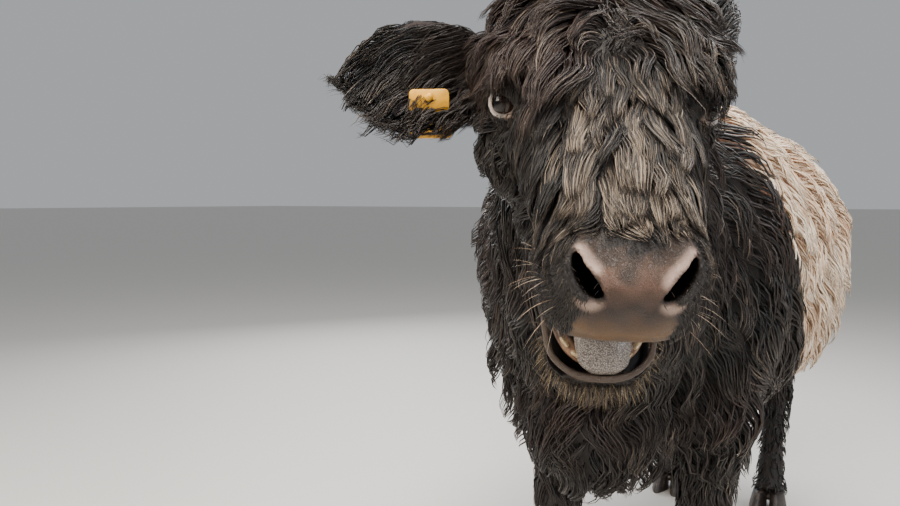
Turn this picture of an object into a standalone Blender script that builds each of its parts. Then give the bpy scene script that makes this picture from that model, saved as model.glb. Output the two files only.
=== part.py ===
# Belted Galloway cattle, life size, standing, the head turned to the left with the mouth open.
# Metres, +Z up. The animal faces -Y, its left side is +X, and its hooves stand on z = 0.
import math
import random

import bmesh
import bpy
import numpy as np
from mathutils import Matrix, Vector
from mathutils.bvhtree import BVHTree

# Driving dimensions of the body, measured on the skin
WITHERS_SCALE = 0.965  # all heights of the trunk and legs are multiplied by this
BELT_FRONT_Y = -0.28  # where the white belt begins behind the shoulder
BELT_REAR_Y = 0.30  # where it ends before the hips
COAT_DEPTH = 0.048  # how far the tips of the body coat stand off the skin
CORE_SHARE = 0.36  # the part of the coat that the solid core takes
GAP = 0.0003  # between nodes that touch
SLIVER = 0.000005  # edges shorter than this are closed up
HOOF_TOP_Z = 0.062
CLAW_SIDES = 8
KNEE_Z = 0.300
HOCK_Z = 0.345

# The head: midpoint between the eyes, and how the face is turned from straight ahead
EYE_MID = Vector((0.185, -1.129, 1.087))
HEAD_YAW = math.radians(29.5)
HEAD_PITCH = math.radians(44.0)
HEAD_ROLL = math.radians(-2.4)
EYE_HALF_SPAN = 0.112  # from the middle of the head to the middle of an eyeball
EYEBALL_RADIUS = 0.0185
LID_THICKNESS = 0.005
JAW_OPEN = math.radians(18.0)
JAW_PIVOT = Vector((-0.08, 0.0, -0.05))

# The ears and the tag
EAR_LENGTH = 0.185
EAR_HALF_HEIGHT = 0.062
TAG_ALONG = 0.50  # where the pin passes through the ear, as a share of its length
TAG_BELOW = 0.030  # and how far below its middle
TAG_THICKNESS = 0.0018
TAG_CORNER = 0.006
PIN_RADIUS = 0.0028

# The mouth
INCISOR_ANGLES = (-75, -54, -33, -11, 11, 33, 54, 75)  # around the arc of the lower gum, in degrees
GUM_ARC = (0.050, 0.045)  # its half axes

SWITCH_TOP_Z = 0.540  # where the bushy end of the tail begins

# How many triangles the cores are thinned to
BODY_FACES = 560
LEG_FACES = 170
HEAD_FACES = 860
JAW_FACES = 300

CORE = COAT_DEPTH * CORE_SHARE

# Locks of hair in the solids
LOCK_STOPS = (-0.10, 0.32, 0.70, 1.0)  # where a lock has its cross-sections, as shares of its length
LOCK_WIDTHS = (0.80, 1.00, 0.72)
LOCK_LIFTS = (None, 0.45, 0.85, 1.0)  # how high each stands off the core, as shares of the lock's height
LOCK_SHORTENED = (1.0, 0.75, 0.5)  # shares of its length that are tried until it fits
LOCK_ROOM = 0.0006  # the least distance from a lock to any other part
ROOT_MARGIN = 0.002  # how far a root stands from the planes that bound its part
ROOT_DEPTH = 0.014  # how far a lock is sunk into its core
EYE_CLEARANCE = 0.028
FORELOCK_END = 0.212  # how far down the face the forelock may reach
SCATTER_TRIES = 5000
DRAWS = 20

# How far apart the roots stand
TRUNK_SPACING = 0.130
NECK_SPACING = 0.100
FORELOCK_SPACING = 0.045
CHEEK_SPACING = 0.068
LEG_SPACING = 0.090
TAIL_SPACING = 0.055
SWITCH_SPACING = 0.069
EAR_LOCKS = 5  # along each edge

# Length, width, height off the core and thickness of the locks
TRUNK_LOCK = (0.21, 0.120, 0.031, 0.020)
NECK_LOCK = (0.16, 0.090, 0.031, 0.020)
FORELOCK = (0.14, 0.040, 0.028, 0.012)
CHEEK_LOCK = (0.085, 0.046, 0.024, 0.012)
LEG_LOCK = (0.12, 0.070, 0.022, 0.015)
TAIL_LOCK = (0.12, 0.034, 0.014, 0.010)
EAR_LOCK = (0.072, 0.044, 0.0, 0.005)


def clear_scene():
    for obj in list(bpy.data.objects):
        bpy.data.objects.remove(obj)


def head_axes():
    """Unit vectors of the head: along the face to the nose, to its left, and out of the forehead."""
    nose = Vector((
        math.sin(HEAD_YAW) * math.cos(HEAD_PITCH),
        -math.cos(HEAD_YAW) * math.cos(HEAD_PITCH),
        -math.sin(HEAD_PITCH),
    ))
    left = Vector((math.cos(HEAD_YAW), math.sin(HEAD_YAW), 0.0))
    facing = Vector((math.sin(HEAD_YAW), -math.cos(HEAD_YAW), 0.0))
    roll = Matrix.Rotation(HEAD_ROLL, 3, facing)
    nose, left = roll @ nose, roll @ left
    return nose, left, nose.cross(left)


NOSE, LEFT, BROW = head_axes()
HEAD_MATRIX = Matrix((
    (NOSE.x, LEFT.x, BROW.x, EYE_MID.x),
    (NOSE.y, LEFT.y, BROW.y, EYE_MID.y),
    (NOSE.z, LEFT.z, BROW.z, EYE_MID.z),
    (0, 0, 0, 1),
))
JAW_MATRIX = (
    HEAD_MATRIX
    @ Matrix.Translation(JAW_PIVOT)
    @ Matrix.Rotation(JAW_OPEN, 4, "Y")
    @ Matrix.Translation(-JAW_PIVOT)
)


def smooth_stations(stations, count):
    """Rows of numbers, resampled by a curve that passes through each of them."""
    rows = np.array(stations, float)
    steps = np.linalg.norm(np.diff(rows[:, :3], axis=0), axis=1)
    along = np.concatenate([[0.0], np.cumsum(steps)])
    slopes = np.gradient(rows, along, axis=0)
    found = []
    for s in np.linspace(0.0, along[-1], count):
        i = min(max(int(np.searchsorted(along, s)) - 1, 0), len(rows) - 2)
        h = along[i + 1] - along[i]
        t = (s - along[i]) / h
        found.append(
            rows[i] * (2 * t**3 - 3 * t**2 + 1)
            + slopes[i] * h * (t**3 - 2 * t**2 + t)
            + rows[i + 1] * (3 * t**2 - 2 * t**3)
            + slopes[i + 1] * h * (t**3 - t**2)
        )
    return np.array(found)


def section(width, up, down, sides, power):
    """Points of one cross-section: a rounded oval, with its own height above and below the middle."""
    points = []
    for k in range(sides):
        angle = 2 * math.pi * k / sides
        c, s = math.cos(angle), math.sin(angle)
        x = width * math.copysign(abs(c) ** power, c)
        z = (up if s > 0 else down) * math.copysign(abs(s) ** power, s)
        points.append((x, z))
    return points


def new_object(name, mesh_builder):
    mesh = bpy.data.meshes.new(name)
    mesh_builder.to_mesh(mesh)
    mesh_builder.free()
    obj = bpy.data.objects.new(name, mesh)
    bpy.context.scene.collection.objects.link(obj)
    return obj


def tube(name, stations, rings=24, sides=20, grow=0.0, power=0.85, upright=(0, 0, 1), matrix=None):
    """A closed tube. A station is x, y, z of its middle, half width, height above and height below."""
    bm = bmesh.new()
    rows = smooth_stations(stations, rings)
    rings_made = []
    for i, row in enumerate(rows):
        ahead = Vector(rows[min(i + 1, rings - 1)][:3]) - Vector(rows[max(i - 1, 0)][:3])
        side = ahead.cross(Vector(upright)).normalized()
        top = side.cross(ahead).normalized()
        centre = Vector(row[:3])
        ring = []
        for x, z in section(row[3] + grow, row[4] + grow, row[5] + grow, sides, power):
            ring.append(bm.verts.new(centre + side * x + top * z))
        rings_made.append(ring)
    for a, b in zip(rings_made, rings_made[1:]):
        for k in range(sides):
            j = (k + 1) % sides
            bm.faces.new((a[k], a[j], b[j], b[k]))
    bm.faces.new(rings_made[0])
    bm.faces.new(list(reversed(rings_made[-1])))
    bmesh.ops.recalc_face_normals(bm, faces=bm.faces)
    if matrix is not None:
        bm.transform(matrix)
    return new_object(name, bm)


def ellipsoid(name, centre, radii, matrix=None, turn=(0, 0, 0), segments=24, rings=16):
    bm = bmesh.new()
    bmesh.ops.create_uvsphere(bm, u_segments=segments, v_segments=rings, radius=1.0)
    place = Matrix.Translation(Vector(centre))
    for axis, angle in zip("XYZ", turn):
        place = place @ Matrix.Rotation(math.radians(angle), 4, axis)
    place = place @ Matrix.Diagonal((*radii, 1.0))
    bm.transform(place if matrix is None else matrix @ place)
    return new_object(name, bm)


def box_between(name, low, high, matrix=None):
    bm = bmesh.new()
    bmesh.ops.create_cube(bm, size=1.0)
    low, high = Vector(low), Vector(high)
    size = high - low
    place = Matrix.Translation((low + high) / 2) @ Matrix.Diagonal((*size, 1.0))
    bm.transform(place if matrix is None else matrix @ place)
    return new_object(name, bm)


def in_order(mesh):
    """The same mesh, its faces sorted and cut into triangles, so that every run gives the same one."""
    faces = []
    for face in mesh.polygons:
        corners = list(face.vertices)
        first = corners.index(min(corners))
        faces.append(corners[first:] + corners[:first])
    ordered = bpy.data.meshes.new(mesh.name)
    ordered.from_pydata([v.co.copy() for v in mesh.vertices], [], sorted(faces))
    bm = bmesh.new()
    bm.from_mesh(ordered)
    bmesh.ops.triangulate(bm, faces=bm.faces)
    bm.to_mesh(ordered)
    bm.free()
    bpy.data.meshes.remove(mesh)
    return ordered


def evaluate(obj):
    """Applies every modifier of the object, and leaves only triangles, so that no face can bend later."""
    graph = bpy.context.evaluated_depsgraph_get()
    mesh = in_order(bpy.data.meshes.new_from_object(obj.evaluated_get(graph)))
    old = obj.data
    obj.modifiers.clear()
    obj.data = mesh
    bpy.data.meshes.remove(old)


def drop(*objects):
    for obj in objects:
        bpy.data.objects.remove(obj)


def boolean(obj, other, operation, solver="MANIFOLD"):
    """MANIFOLD, because the joined coats hold far too many faces for the exact solver."""
    cut = obj.modifiers.new("cut", "BOOLEAN")
    cut.operation = operation
    cut.solver = solver
    cut.object = other
    evaluate(obj)


def unite(name, objects):
    """One body from overlapping closed pieces, which are removed."""
    first, rest = objects[0], objects[1:]
    if rest:
        pieces = bpy.data.collections.new(name + "_pieces")
        for obj in rest:
            pieces.objects.link(obj)
        join = first.modifiers.new("join", "BOOLEAN")
        join.operation = "UNION"
        join.solver = "MANIFOLD"
        join.operand_type = "COLLECTION"
        join.collection = pieces
        evaluate(first)
        drop(*rest)
        bpy.data.collections.remove(pieces)
    first.name = name
    return first


def remesh(obj, voxel, smoothing, faces):
    """Fuses overlapping pieces into one skin, rounds the joins and thins the result to a face count."""
    fuse = obj.modifiers.new("fuse", "REMESH")
    fuse.mode = "VOXEL"
    fuse.voxel_size = voxel
    soften = obj.modifiers.new("soften", "SMOOTH")
    soften.factor = 0.5
    soften.iterations = smoothing
    evaluate(obj)
    triangles = sum(len(p.vertices) - 2 for p in obj.data.polygons)
    thin = obj.modifiers.new("thin", "DECIMATE")
    thin.ratio = min(1.0, faces / triangles)
    evaluate(obj)


def join(name, objects):
    """One object that holds all the meshes, still as separate shells."""
    bm = bmesh.new()
    for obj in objects:
        bm.from_mesh(obj.data)
    drop(*objects)
    return new_object(name, bm)


def copy_of(obj, name):
    twin = obj.copy()
    twin.data = obj.data.copy()
    twin.name = name
    bpy.context.scene.collection.objects.link(twin)
    return twin


def shells_of(bm):
    """The closed surfaces of a mesh, as lists of faces, largest first."""
    left, groups = set(bm.faces), []
    while left:
        stack = [left.pop()]
        group = list(stack)
        while stack:
            for edge in stack.pop().edges:
                for near in edge.link_faces if len(edge.link_faces) == 2 else ():
                    if near in left:
                        left.remove(near)
                        stack.append(near)
                        group.append(near)
        groups.append(group)
    return sorted(groups, key=lambda group: sum(face.calc_area() for face in group), reverse=True)


def touches_itself(obj):
    """Whether the surface meets itself at an edge, or two of its corners share one place."""
    bm = bmesh.new()
    bm.from_mesh(obj.data)
    pinched = any(len(edge.link_faces) != 2 for edge in bm.edges)
    places = {tuple(round(value * 1e6) for value in vert.co) for vert in bm.verts}
    crowded = len(places) < len(bm.verts)
    bm.free()
    return pinched or crowded


def close_slivers(obj):
    bm = bmesh.new()
    bm.from_mesh(obj.data)
    bmesh.ops.dissolve_degenerate(bm, dist=SLIVER, edges=bm.edges)
    bmesh.ops.triangulate(bm, faces=bm.faces)
    bm.to_mesh(obj.data)
    bm.free()


def settle(obj):
    """Closes slivers and drops every closed surface of the object but its largest."""
    close_slivers(obj)
    bm = bmesh.new()
    bm.from_mesh(obj.data)
    groups = shells_of(bm)
    for group in groups[1:]:
        bmesh.ops.delete(bm, geom=group, context="FACES")
    loose = [v for v in bm.verts if not v.link_faces]
    bmesh.ops.delete(bm, geom=loose, context="VERTS")
    bm.to_mesh(obj.data)
    bm.free()


def surface_of(obj):
    """A search tree over the object's faces, to find the nearest point of its surface."""
    bm = bmesh.new()
    bm.from_mesh(obj.data)
    tree = BVHTree.FromBMesh(bm)
    bm.free()
    return tree


def grown(obj, distance=GAP):
    """A copy whose faces stand this far outside the object's own."""
    twin = copy_of(obj, obj.name + "_grown")
    bm = bmesh.new()
    bm.from_mesh(twin.data)
    bm.normal_update()
    moves = []
    for vert in bm.verts:
        normals = np.array([face.normal for face in vert.link_faces])
        areas = np.array([face.calc_area() for face in vert.link_faces])
        shares = areas / max(areas.max(), 1e-12)
        wanted = normals.T @ (normals * shares[:, None]) + 0.01 * np.eye(3)
        move = Vector(np.linalg.solve(wanted, normals.T @ (shares * distance)))
        moves.append(move * min(1.0, 4 * distance / max(move.length, 1e-9)))
    for vert, move in zip(bm.verts, moves):
        vert.co += move
    bm.to_mesh(twin.data)
    bm.free()
    return twin


def clear_of(obj, *others):
    """Cuts the object back to a thin gap from each of the others."""
    for other in others:
        cutter = grown(other)
        boolean(obj, cutter, "DIFFERENCE")
        drop(cutter)
    settle(obj)


def half_space(name, point, normal, reach=4.0):
    """A large block that fills the side of a plane that the normal points to."""
    turn = Vector(normal).normalized().to_track_quat("Z", "Y").to_matrix().to_4x4()
    place = Matrix.Translation(Vector(point)) @ turn
    return box_between(name, (-reach, -reach, 0), (reach, reach, reach), place)


def keep_side(obj, point, normal, gap=GAP / 2):
    """Keeps the part of a body that lies on the side of a plane that the normal points to."""
    normal = Vector(normal).normalized()
    block = half_space("side", Vector(point) + normal * gap, normal)
    boolean(obj, block, "INTERSECT")
    drop(block)


# Locks of hair: flat, tapered, ridged on top, laid along the coat and rooted in the core


def ribbon(points, sides, tops, widths, thickness):
    """A closed tapered lock along a path: flat beneath, with a low ridge on top, drawn to a point."""
    bm = bmesh.new()
    rings = []
    for point, side, top, width in zip(points[:-1], sides, tops, widths):
        under = point - top * thickness * 0.35
        ring = (under - side * width / 2, under + side * width / 2, under + top * thickness)
        rings.append([bm.verts.new(corner) for corner in ring])
    tip = bm.verts.new(points[-1])
    bm.faces.new(rings[0])
    for a, b in zip(rings, rings[1:]):
        for k in range(3):
            j = (k + 1) % 3
            bm.faces.new((a[k], a[j], b[j], b[k]))
    for k in range(3):
        bm.faces.new((rings[-1][k], rings[-1][(k + 1) % 3], tip))
    bmesh.ops.triangulate(bm, faces=bm.faces)
    bmesh.ops.recalc_face_normals(bm, faces=bm.faces)
    return bm


def fits(piece, planes, neighbours):
    """Whether a lock stays on its own side of every plane and meets none of the neighbouring surfaces."""
    for point, normal in planes:
        if min((vert.co - point).dot(normal) for vert in piece.verts) < LOCK_ROOM:
            return False
    tree = BVHTree.FromBMesh(piece, epsilon=LOCK_ROOM)
    return not any(tree.overlap(other) for other in neighbours)


def within(planes, point, margin):
    """Whether a point keeps this far from every plane, on its own side."""
    return all((point - origin).dot(normal) > margin for origin, normal in planes)


def lock(tree, root, lie, length, width, height, thickness, bend, sink):
    """One lock from a root on the surface, which follows the surface along the lie of the coat."""
    points, sides, tops = [], [], []
    near, normal, _, _ = tree.find_nearest(Vector(root))
    heading, at = lie(near, normal), 0.0
    for stop, lift in zip(LOCK_STOPS, LOCK_LIFTS):
        near, normal, _, _ = tree.find_nearest(near + heading * (stop - at) * length)
        at = stop
        heading = lie(near, normal)
        sides.append(heading.cross(normal).normalized())
        tops.append(normal)
        rise = -sink if lift is None else lift * height
        points.append(near + normal * rise + sides[-1] * bend * math.sin(stop * 2.6))
    return ribbon(points, sides, tops, [width * share for share in LOCK_WIDTHS], thickness)


def scatter(obj, spacing, rng, wanted):
    """Points spread over the part of a surface that is wanted, none closer together than the spacing."""
    tree = surface_of(obj)
    corners = np.array([v.co for v in obj.data.vertices])
    low, high = corners.min(axis=0) - 0.05, corners.max(axis=0) + 0.05
    chosen = []
    for _ in range(SCATTER_TRIES):
        spot = Vector([rng.uniform(a, b) for a, b in zip(low, high)])
        point, _, _, distance = tree.find_nearest(spot)
        if distance > 0.10 or not wanted(point):
            continue
        if all((point - other).length > spacing(point) for other in chosen):
            chosen.append(point)
    return chosen


def fuse_locks(obj, seed, draw_locks):
    """Fuses drawn locks to their core. A draw whose surface touches itself gives way to the next."""
    core = obj.data.copy()
    for draw in range(DRAWS):
        pieces = [new_object("lock", piece) for piece in draw_locks(random.Random(seed + 100 * draw))]
        unite(obj.name, [obj] + pieces)
        settle(obj)
        if not touches_itself(obj):
            return
        obj.data = core.copy()


def coat(parts, name, tree, seed, spacing, lie, wanted, planes, size, sink=ROOT_DEPTH, guards=()):
    """Covers a part's core with locks, each shortened until it keeps clear of every other part.

    The tree is the surface that they follow. Size gives a lock's length, width, height and thickness.
    """
    neighbours = [surface_of(obj) for other, obj in parts.items() if other != name] + list(guards)

    def draw_locks(rng):
        made = []
        for root in scatter(parts[name], spacing, rng, wanted):
            length, width, height, thickness = size(root)
            length *= rng.uniform(0.85, 1.15)
            width *= rng.uniform(0.85, 1.15)
            bend = rng.uniform(-0.16, 0.16)
            for share in LOCK_SHORTENED:
                reach = length * share
                piece = lock(tree, root, lie, reach, width, height, thickness, bend * reach, sink)
                if fits(piece, planes, neighbours):
                    made.append(piece)
                    break
                piece.free()
        return made

    fuse_locks(parts[name], seed, draw_locks)


def tangent(direction, normal):
    flat = direction - normal * direction.dot(normal)
    if flat.length < 1e-4:
        flat = Vector((0, 0.01, -1)) - normal * -normal.z
    return flat.normalized()


# The trunk, neck and what swells from them

TRUNK = [
    (0.0, -0.72, 0.80, 0.150, 0.190, 0.200),
    (0.0, -0.62, 0.84, 0.220, 0.280, 0.280),
    (0.0, -0.50, 0.86, 0.270, 0.330, 0.340),
    (0.0, -0.34, 0.87, 0.290, 0.345, 0.355),
    (0.0, -0.12, 0.86, 0.315, 0.335, 0.350),
    (0.0, 0.10, 0.855, 0.340, 0.335, 0.350),
    (0.0, 0.28, 0.86, 0.330, 0.335, 0.330),
    (0.0, 0.45, 0.90, 0.285, 0.315, 0.300),
    (0.0, 0.60, 0.93, 0.250, 0.275, 0.290),
    (0.0, 0.72, 0.95, 0.185, 0.200, 0.240),
    (0.0, 0.76, 0.95, 0.100, 0.120, 0.150),
]
NECK = [
    (0.000, -0.42, 0.860, 0.240, 0.290, 0.310),
    (0.015, -0.60, 0.885, 0.200, 0.260, 0.280),
    (0.055, -0.76, 0.945, 0.165, 0.210, 0.225),
    (0.102, -0.90, 1.015, 0.138, 0.165, 0.170),
    (0.122, -0.965, 1.058, 0.125, 0.140, 0.145),
    (0.134, -1.003, 1.080, 0.095, 0.110, 0.115),
]


def scaled(stations, grow):
    """Heights of the trunk brought to the withers' height, and the skin moved out to the core."""
    s = WITHERS_SCALE
    return [(x, y, z * s, w + grow, up * s + grow, down * s + grow) for x, y, z, w, up, down in stations]


def body_core(grow):
    pieces = [
        tube("trunk", scaled(TRUNK, grow), rings=36, sides=32),
        tube("neck", scaled(NECK, grow), rings=24, sides=28, power=0.95),
    ]
    for side in (-1, 1):
        at = (side * 0.150, -0.42, 0.80)
        pieces.append(ellipsoid("shoulder", at, (0.125 + grow, 0.17, 0.31), turn=(-14, 0, 0)))
        at = (side * 0.150, 0.50, 0.80)
        pieces.append(ellipsoid("haunch", at, (0.135 + grow, 0.23, 0.29), turn=(16, 0, 0)))
    pieces.append(ellipsoid("brisket", (0.005, -0.60, 0.60), (0.13, 0.16, 0.16), turn=(-20, 0, 0)))
    return join("body", pieces)


# The legs. A station is x, y, z of its middle, half width, and half depth ahead and behind.

FORELEG = [
    (0.155, -0.42, 0.700, 0.080, 0.120, 0.120),
    (0.155, -0.42, 0.560, 0.068, 0.092, 0.095),
    (0.158, -0.42, 0.450, 0.055, 0.066, 0.068),
    (0.160, -0.42, 0.360, 0.045, 0.050, 0.052),
    (0.160, -0.42, 0.310, 0.047, 0.050, 0.052),
    (0.160, -0.42, 0.260, 0.036, 0.040, 0.040),
    (0.160, -0.42, 0.180, 0.031, 0.034, 0.034),
    (0.160, -0.42, 0.115, 0.038, 0.042, 0.042),
    (0.160, -0.43, 0.085, 0.037, 0.042, 0.042),
    (0.160, -0.44, 0.055, 0.045, 0.052, 0.050),
]
HINDLEG = [
    (0.150, 0.50, 0.800, 0.095, 0.190, 0.180),
    (0.152, 0.49, 0.640, 0.080, 0.150, 0.140),
    (0.154, 0.53, 0.520, 0.055, 0.100, 0.090),
    (0.155, 0.60, 0.430, 0.042, 0.070, 0.065),
    (0.155, 0.62, 0.380, 0.042, 0.056, 0.058),
    (0.155, 0.61, 0.310, 0.035, 0.045, 0.045),
    (0.155, 0.59, 0.200, 0.031, 0.037, 0.037),
    (0.155, 0.575, 0.120, 0.038, 0.042, 0.042),
    (0.155, 0.555, 0.085, 0.037, 0.042, 0.042),
    (0.155, 0.540, 0.055, 0.045, 0.052, 0.050),
]


def leg_core(name, stations, side, grow, faces):
    rows = []
    for x, y, z, w, front, back in stations:
        hair = grow * min(1.0, 0.35 + z)
        rows.append((side * x, y, z, w + hair, front + hair, back + hair))
    leg = tube(name, rows, rings=30, sides=20, power=0.95, upright=(0, 1, 0))
    dew = []
    _, y, _, w, _, back = stations[-3]
    for across in (-1, 1):
        centre = (side * stations[-3][0] + across * 0.020, y + back + 0.004, 0.100)
        claw = ellipsoid("dewclaw", centre, (0.011, 0.013, 0.018), turn=(-25, 0, 0), segments=8, rings=6)
        dew.append(claw)
    leg = join(name, [leg] + dew)
    remesh(leg, 0.009, 3, faces)
    return leg


# A claw: height, half length, width and how far it leans back
HOOF_STATIONS = [
    (0.0, 0.058, 0.030, 0.0),
    (0.018, 0.056, 0.029, 0.003),
    (HOOF_TOP_Z - GAP, 0.044, 0.023, 0.014),
]


def hoof(name, x, y):
    """Two claws on flat soles, joined at the heel, with the toes ahead."""
    claws = []
    for across in (-1, 1):
        bm = bmesh.new()
        rings = []
        for z, long_half, wide, back_lean in HOOF_STATIONS:
            ring = []
            for k in range(CLAW_SIDES):
                angle = 2 * math.pi * k / CLAW_SIDES
                c, s = math.cos(angle), math.sin(angle)
                toe = -long_half * c if c > 0 else -0.85 * long_half * c
                narrow = 1.0 - 0.28 * max(c, 0.0)
                px = x + across * (0.004 + wide * (0.86 + 0.86 * across * s * narrow))
                ring.append(bm.verts.new((px, y + toe - 0.012 + back_lean, z)))
            rings.append(ring)
        for a, b in zip(rings, rings[1:]):
            for k in range(CLAW_SIDES):
                j = (k + 1) % CLAW_SIDES
                bm.faces.new((a[k], a[j], b[j], b[k]))
        bm.faces.new(rings[0])
        bm.faces.new(rings[-1])
        bmesh.ops.recalc_face_normals(bm, faces=bm.faces)
        claws.append(new_object("claw", bm))
    bridge = ellipsoid("heel", (x, y + 0.012, 0.040), (0.022, 0.026, 0.016), segments=8, rings=6)
    return unite(name, [claws[0], claws[1], bridge])


# Base colour and roughness of each slot
SLOT_COLOURS = {
    "black_coat": ((0.012, 0.010, 0.009, 1), 0.75),
    "white_coat": ((0.62, 0.52, 0.42, 1), 0.8),
    "nose_skin": ((0.055, 0.040, 0.036, 1), 0.35),
    "mouth_flesh": ((0.16, 0.13, 0.125, 1), 0.3),
    "tooth": ((0.50, 0.40, 0.24, 1), 0.35),
    "eye": ((0.010, 0.007, 0.006, 1), 0.05),
    "hoof_horn": ((0.030, 0.025, 0.022, 1), 0.5),
    "udder_skin": ((0.10, 0.06, 0.055, 1), 0.6),
    "tag_plastic": ((0.80, 0.42, 0.012, 1), 0.4),
}


def finish_materials():
    made = {}
    for slot, (colour, roughness) in SLOT_COLOURS.items():
        material = bpy.data.materials.new(slot)
        material.use_nodes = True
        shader = material.node_tree.nodes["Principled BSDF"]
        shader.inputs["Base Color"].default_value = colour
        shader.inputs["Roughness"].default_value = roughness
        shader.inputs["Metallic"].default_value = 0.0
        made[slot] = material
    return made


# The head, in its own axes: +X down the face to the nose, +Y to its left, +Z out of the forehead.
# A station is how far along the face it lies, its half width, its top and its bottom.

SKULL = [
    (-0.195, 0.045, 0.035, -0.050),
    (-0.165, 0.092, 0.066, -0.100),
    (-0.110, 0.112, 0.078, -0.120),
    (-0.050, 0.119, 0.075, -0.120),
    (0.000, 0.118, 0.068, -0.110),
    (0.050, 0.103, 0.062, -0.095),
    (0.100, 0.086, 0.056, -0.080),
    (0.150, 0.074, 0.051, -0.066),
    (0.190, 0.066, 0.047, -0.061),
    (0.225, 0.066, 0.043, -0.060),
    (0.252, 0.063, 0.034, -0.058),
    (0.272, 0.054, 0.016, -0.055),
    (0.281, 0.038, -0.002, -0.046),
]
MANDIBLE = [
    (-0.085, 0.060, -0.060, -0.130),
    (-0.040, 0.084, -0.066, -0.168),
    (0.030, 0.076, -0.080, -0.160),
    (0.090, 0.060, -0.080, -0.142),
    (0.140, 0.054, -0.076, -0.124),
    (0.188, 0.056, -0.070, -0.112),
    (0.230, 0.061, -0.066, -0.107),
    (0.260, 0.056, -0.065, -0.102),
    (0.278, 0.034, -0.069, -0.091),
]
MUZZLE_FROM = 0.178  # where the muzzle node begins, along the face
NOSTRIL = Vector((0.258, 0.042, 0.000))
EAR_ROOT = Vector((-0.087, 0.112, -0.023))

# Along the ear: share of its length, share of its half height, and depth of the cup
EAR_STATIONS = [
    (-0.10, 0.40, 0.020),
    (0.06, 0.55, 0.024),
    (0.22, 0.80, 0.026),
    (0.40, 0.97, 0.024),
    (0.58, 1.00, 0.020),
    (0.76, 0.82, 0.014),
    (0.90, 0.50, 0.007),
    (1.00, 0.14, 0.001),
]
EAR_COLUMNS = 5


def head_rows(stations, grow):
    rows = []
    for x, half, top, bottom in stations:
        hair = grow * min(1.0, max(0.0, (0.20 - x) / 0.10))
        tall = (top - bottom) / 2 + hair
        rows.append((x, 0, (top + bottom) / 2, half + hair, tall, tall))
    return rows


def skull_core(grow):
    at = HEAD_MATRIX
    pieces = [tube("skull", head_rows(SKULL, grow), rings=44, sides=36, power=0.88, matrix=at)]
    pieces.append(ellipsoid("poll", (-0.160, 0, 0.048), (0.050 + grow, 0.075 + grow, 0.048 + grow), at))
    pieces.append(ellipsoid("pad", (0.250, 0, -0.008), (0.034, 0.050, 0.043), at, turn=(0, -18, 0)))
    for side in (-1, 1):
        pieces.append(ellipsoid("brow", (-0.016, side * 0.096, 0.030), (0.042, 0.030, 0.022), at))
        pieces.append(ellipsoid("orbit", (0.000, side * 0.100, -0.002), (0.040, 0.028, 0.030), at))
        pieces.append(ellipsoid("jowl", (-0.030, side * 0.084, -0.070), (0.080, 0.042 + grow, 0.062), at))
        wing = (0.246, side * 0.050, 0.004)
        pieces.append(ellipsoid("wing", wing, (0.030, 0.022, 0.034), at, turn=(side * 18, 0, 0)))
        pieces.append(ellipsoid("flews", (0.215, side * 0.050, -0.044), (0.050, 0.021, 0.022), at))
        pieces.append(ellipsoid("earbase", (-0.098, side * 0.112, 0.0), (0.030, 0.032, 0.032), at))
    skull = join("head", pieces)
    remesh(skull, 0.0065, 4, HEAD_FACES)
    return skull


def eye_places():
    for side, name in ((-1, "eye_right"), (1, "eye_left")):
        yield side, name, Vector((0.002, side * EYE_HALF_SPAN, 0.0))


def cut_eyes(skull):
    """Lids are a shell over each eyeball with an almond opening, narrower than the ball."""
    lids = []
    for side, _, centre in eye_places():
        rim = EYEBALL_RADIUS + LID_THICKNESS
        lids.append(ellipsoid("lid", centre, (rim * 1.12, rim, rim), HEAD_MATRIX, segments=12, rings=8))
    unite(skull.name, [skull] + lids)
    balls = {}
    for side, name, centre in eye_places():
        middle = centre + Vector((0.004, side * 0.022, 0.001))
        opening = ellipsoid(
            "opening", middle, (0.0185, 0.020, 0.0125), HEAD_MATRIX, turn=(0, -8, 0), segments=10, rings=6,
        )
        boolean(skull, opening, "DIFFERENCE")
        drop(opening)
        balls[name] = ellipsoid(name, centre, (EYEBALL_RADIUS,) * 3, HEAD_MATRIX, segments=10, rings=8)
    clear_of(skull, *balls.values())
    return balls


def cut_nostrils(muzzle):
    """Each nostril is a comma: a round hole low and inward, drawn out upward and outward."""
    for side in (-1, 1):
        place = Vector((NOSTRIL.x, side * NOSTRIL.y, NOSTRIL.z))
        hole = ellipsoid(
            "hole", place, (0.034, 0.0105, 0.0135), HEAD_MATRIX,
            turn=(side * 20, -12, -side * 14), segments=10, rings=6,
        )
        tail = ellipsoid(
            "tail", place + Vector((0.0, side * 0.011, 0.012)), (0.026, 0.006, 0.015), HEAD_MATRIX,
            turn=(side * 40, -12, -side * 20), segments=8, rings=6,
        )
        hole = unite("hole", [hole, tail])
        boolean(muzzle, hole, "DIFFERENCE")
        drop(hole)


def jaw_core():
    at = JAW_MATRIX
    rows = head_rows(MANDIBLE, CORE * 0.5)
    pieces = [tube("mandible", rows, rings=34, sides=28, power=0.85, matrix=at)]
    for side in (-1, 1):
        pieces.append(ellipsoid("angle", (-0.035, side * 0.066, -0.120), (0.060, 0.030, 0.045), at))
        lip = (0.206, side * 0.052, -0.078)
        pieces.append(ellipsoid("lip", lip, (0.068, 0.014, 0.014), at, turn=(0, 0, side * 4)))
        cheek = (0.055, side * 0.060, -0.074)
        pieces.append(ellipsoid("cheek", cheek, (0.085, 0.018, 0.040), at, turn=(0, 0, -side * 8)))
    pieces.append(ellipsoid("chin", (0.240, 0, -0.096), (0.034, 0.043, 0.022), at))
    jaw = join("lower_jaw", pieces)
    remesh(jaw, 0.006, 4, JAW_FACES)
    return jaw


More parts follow.
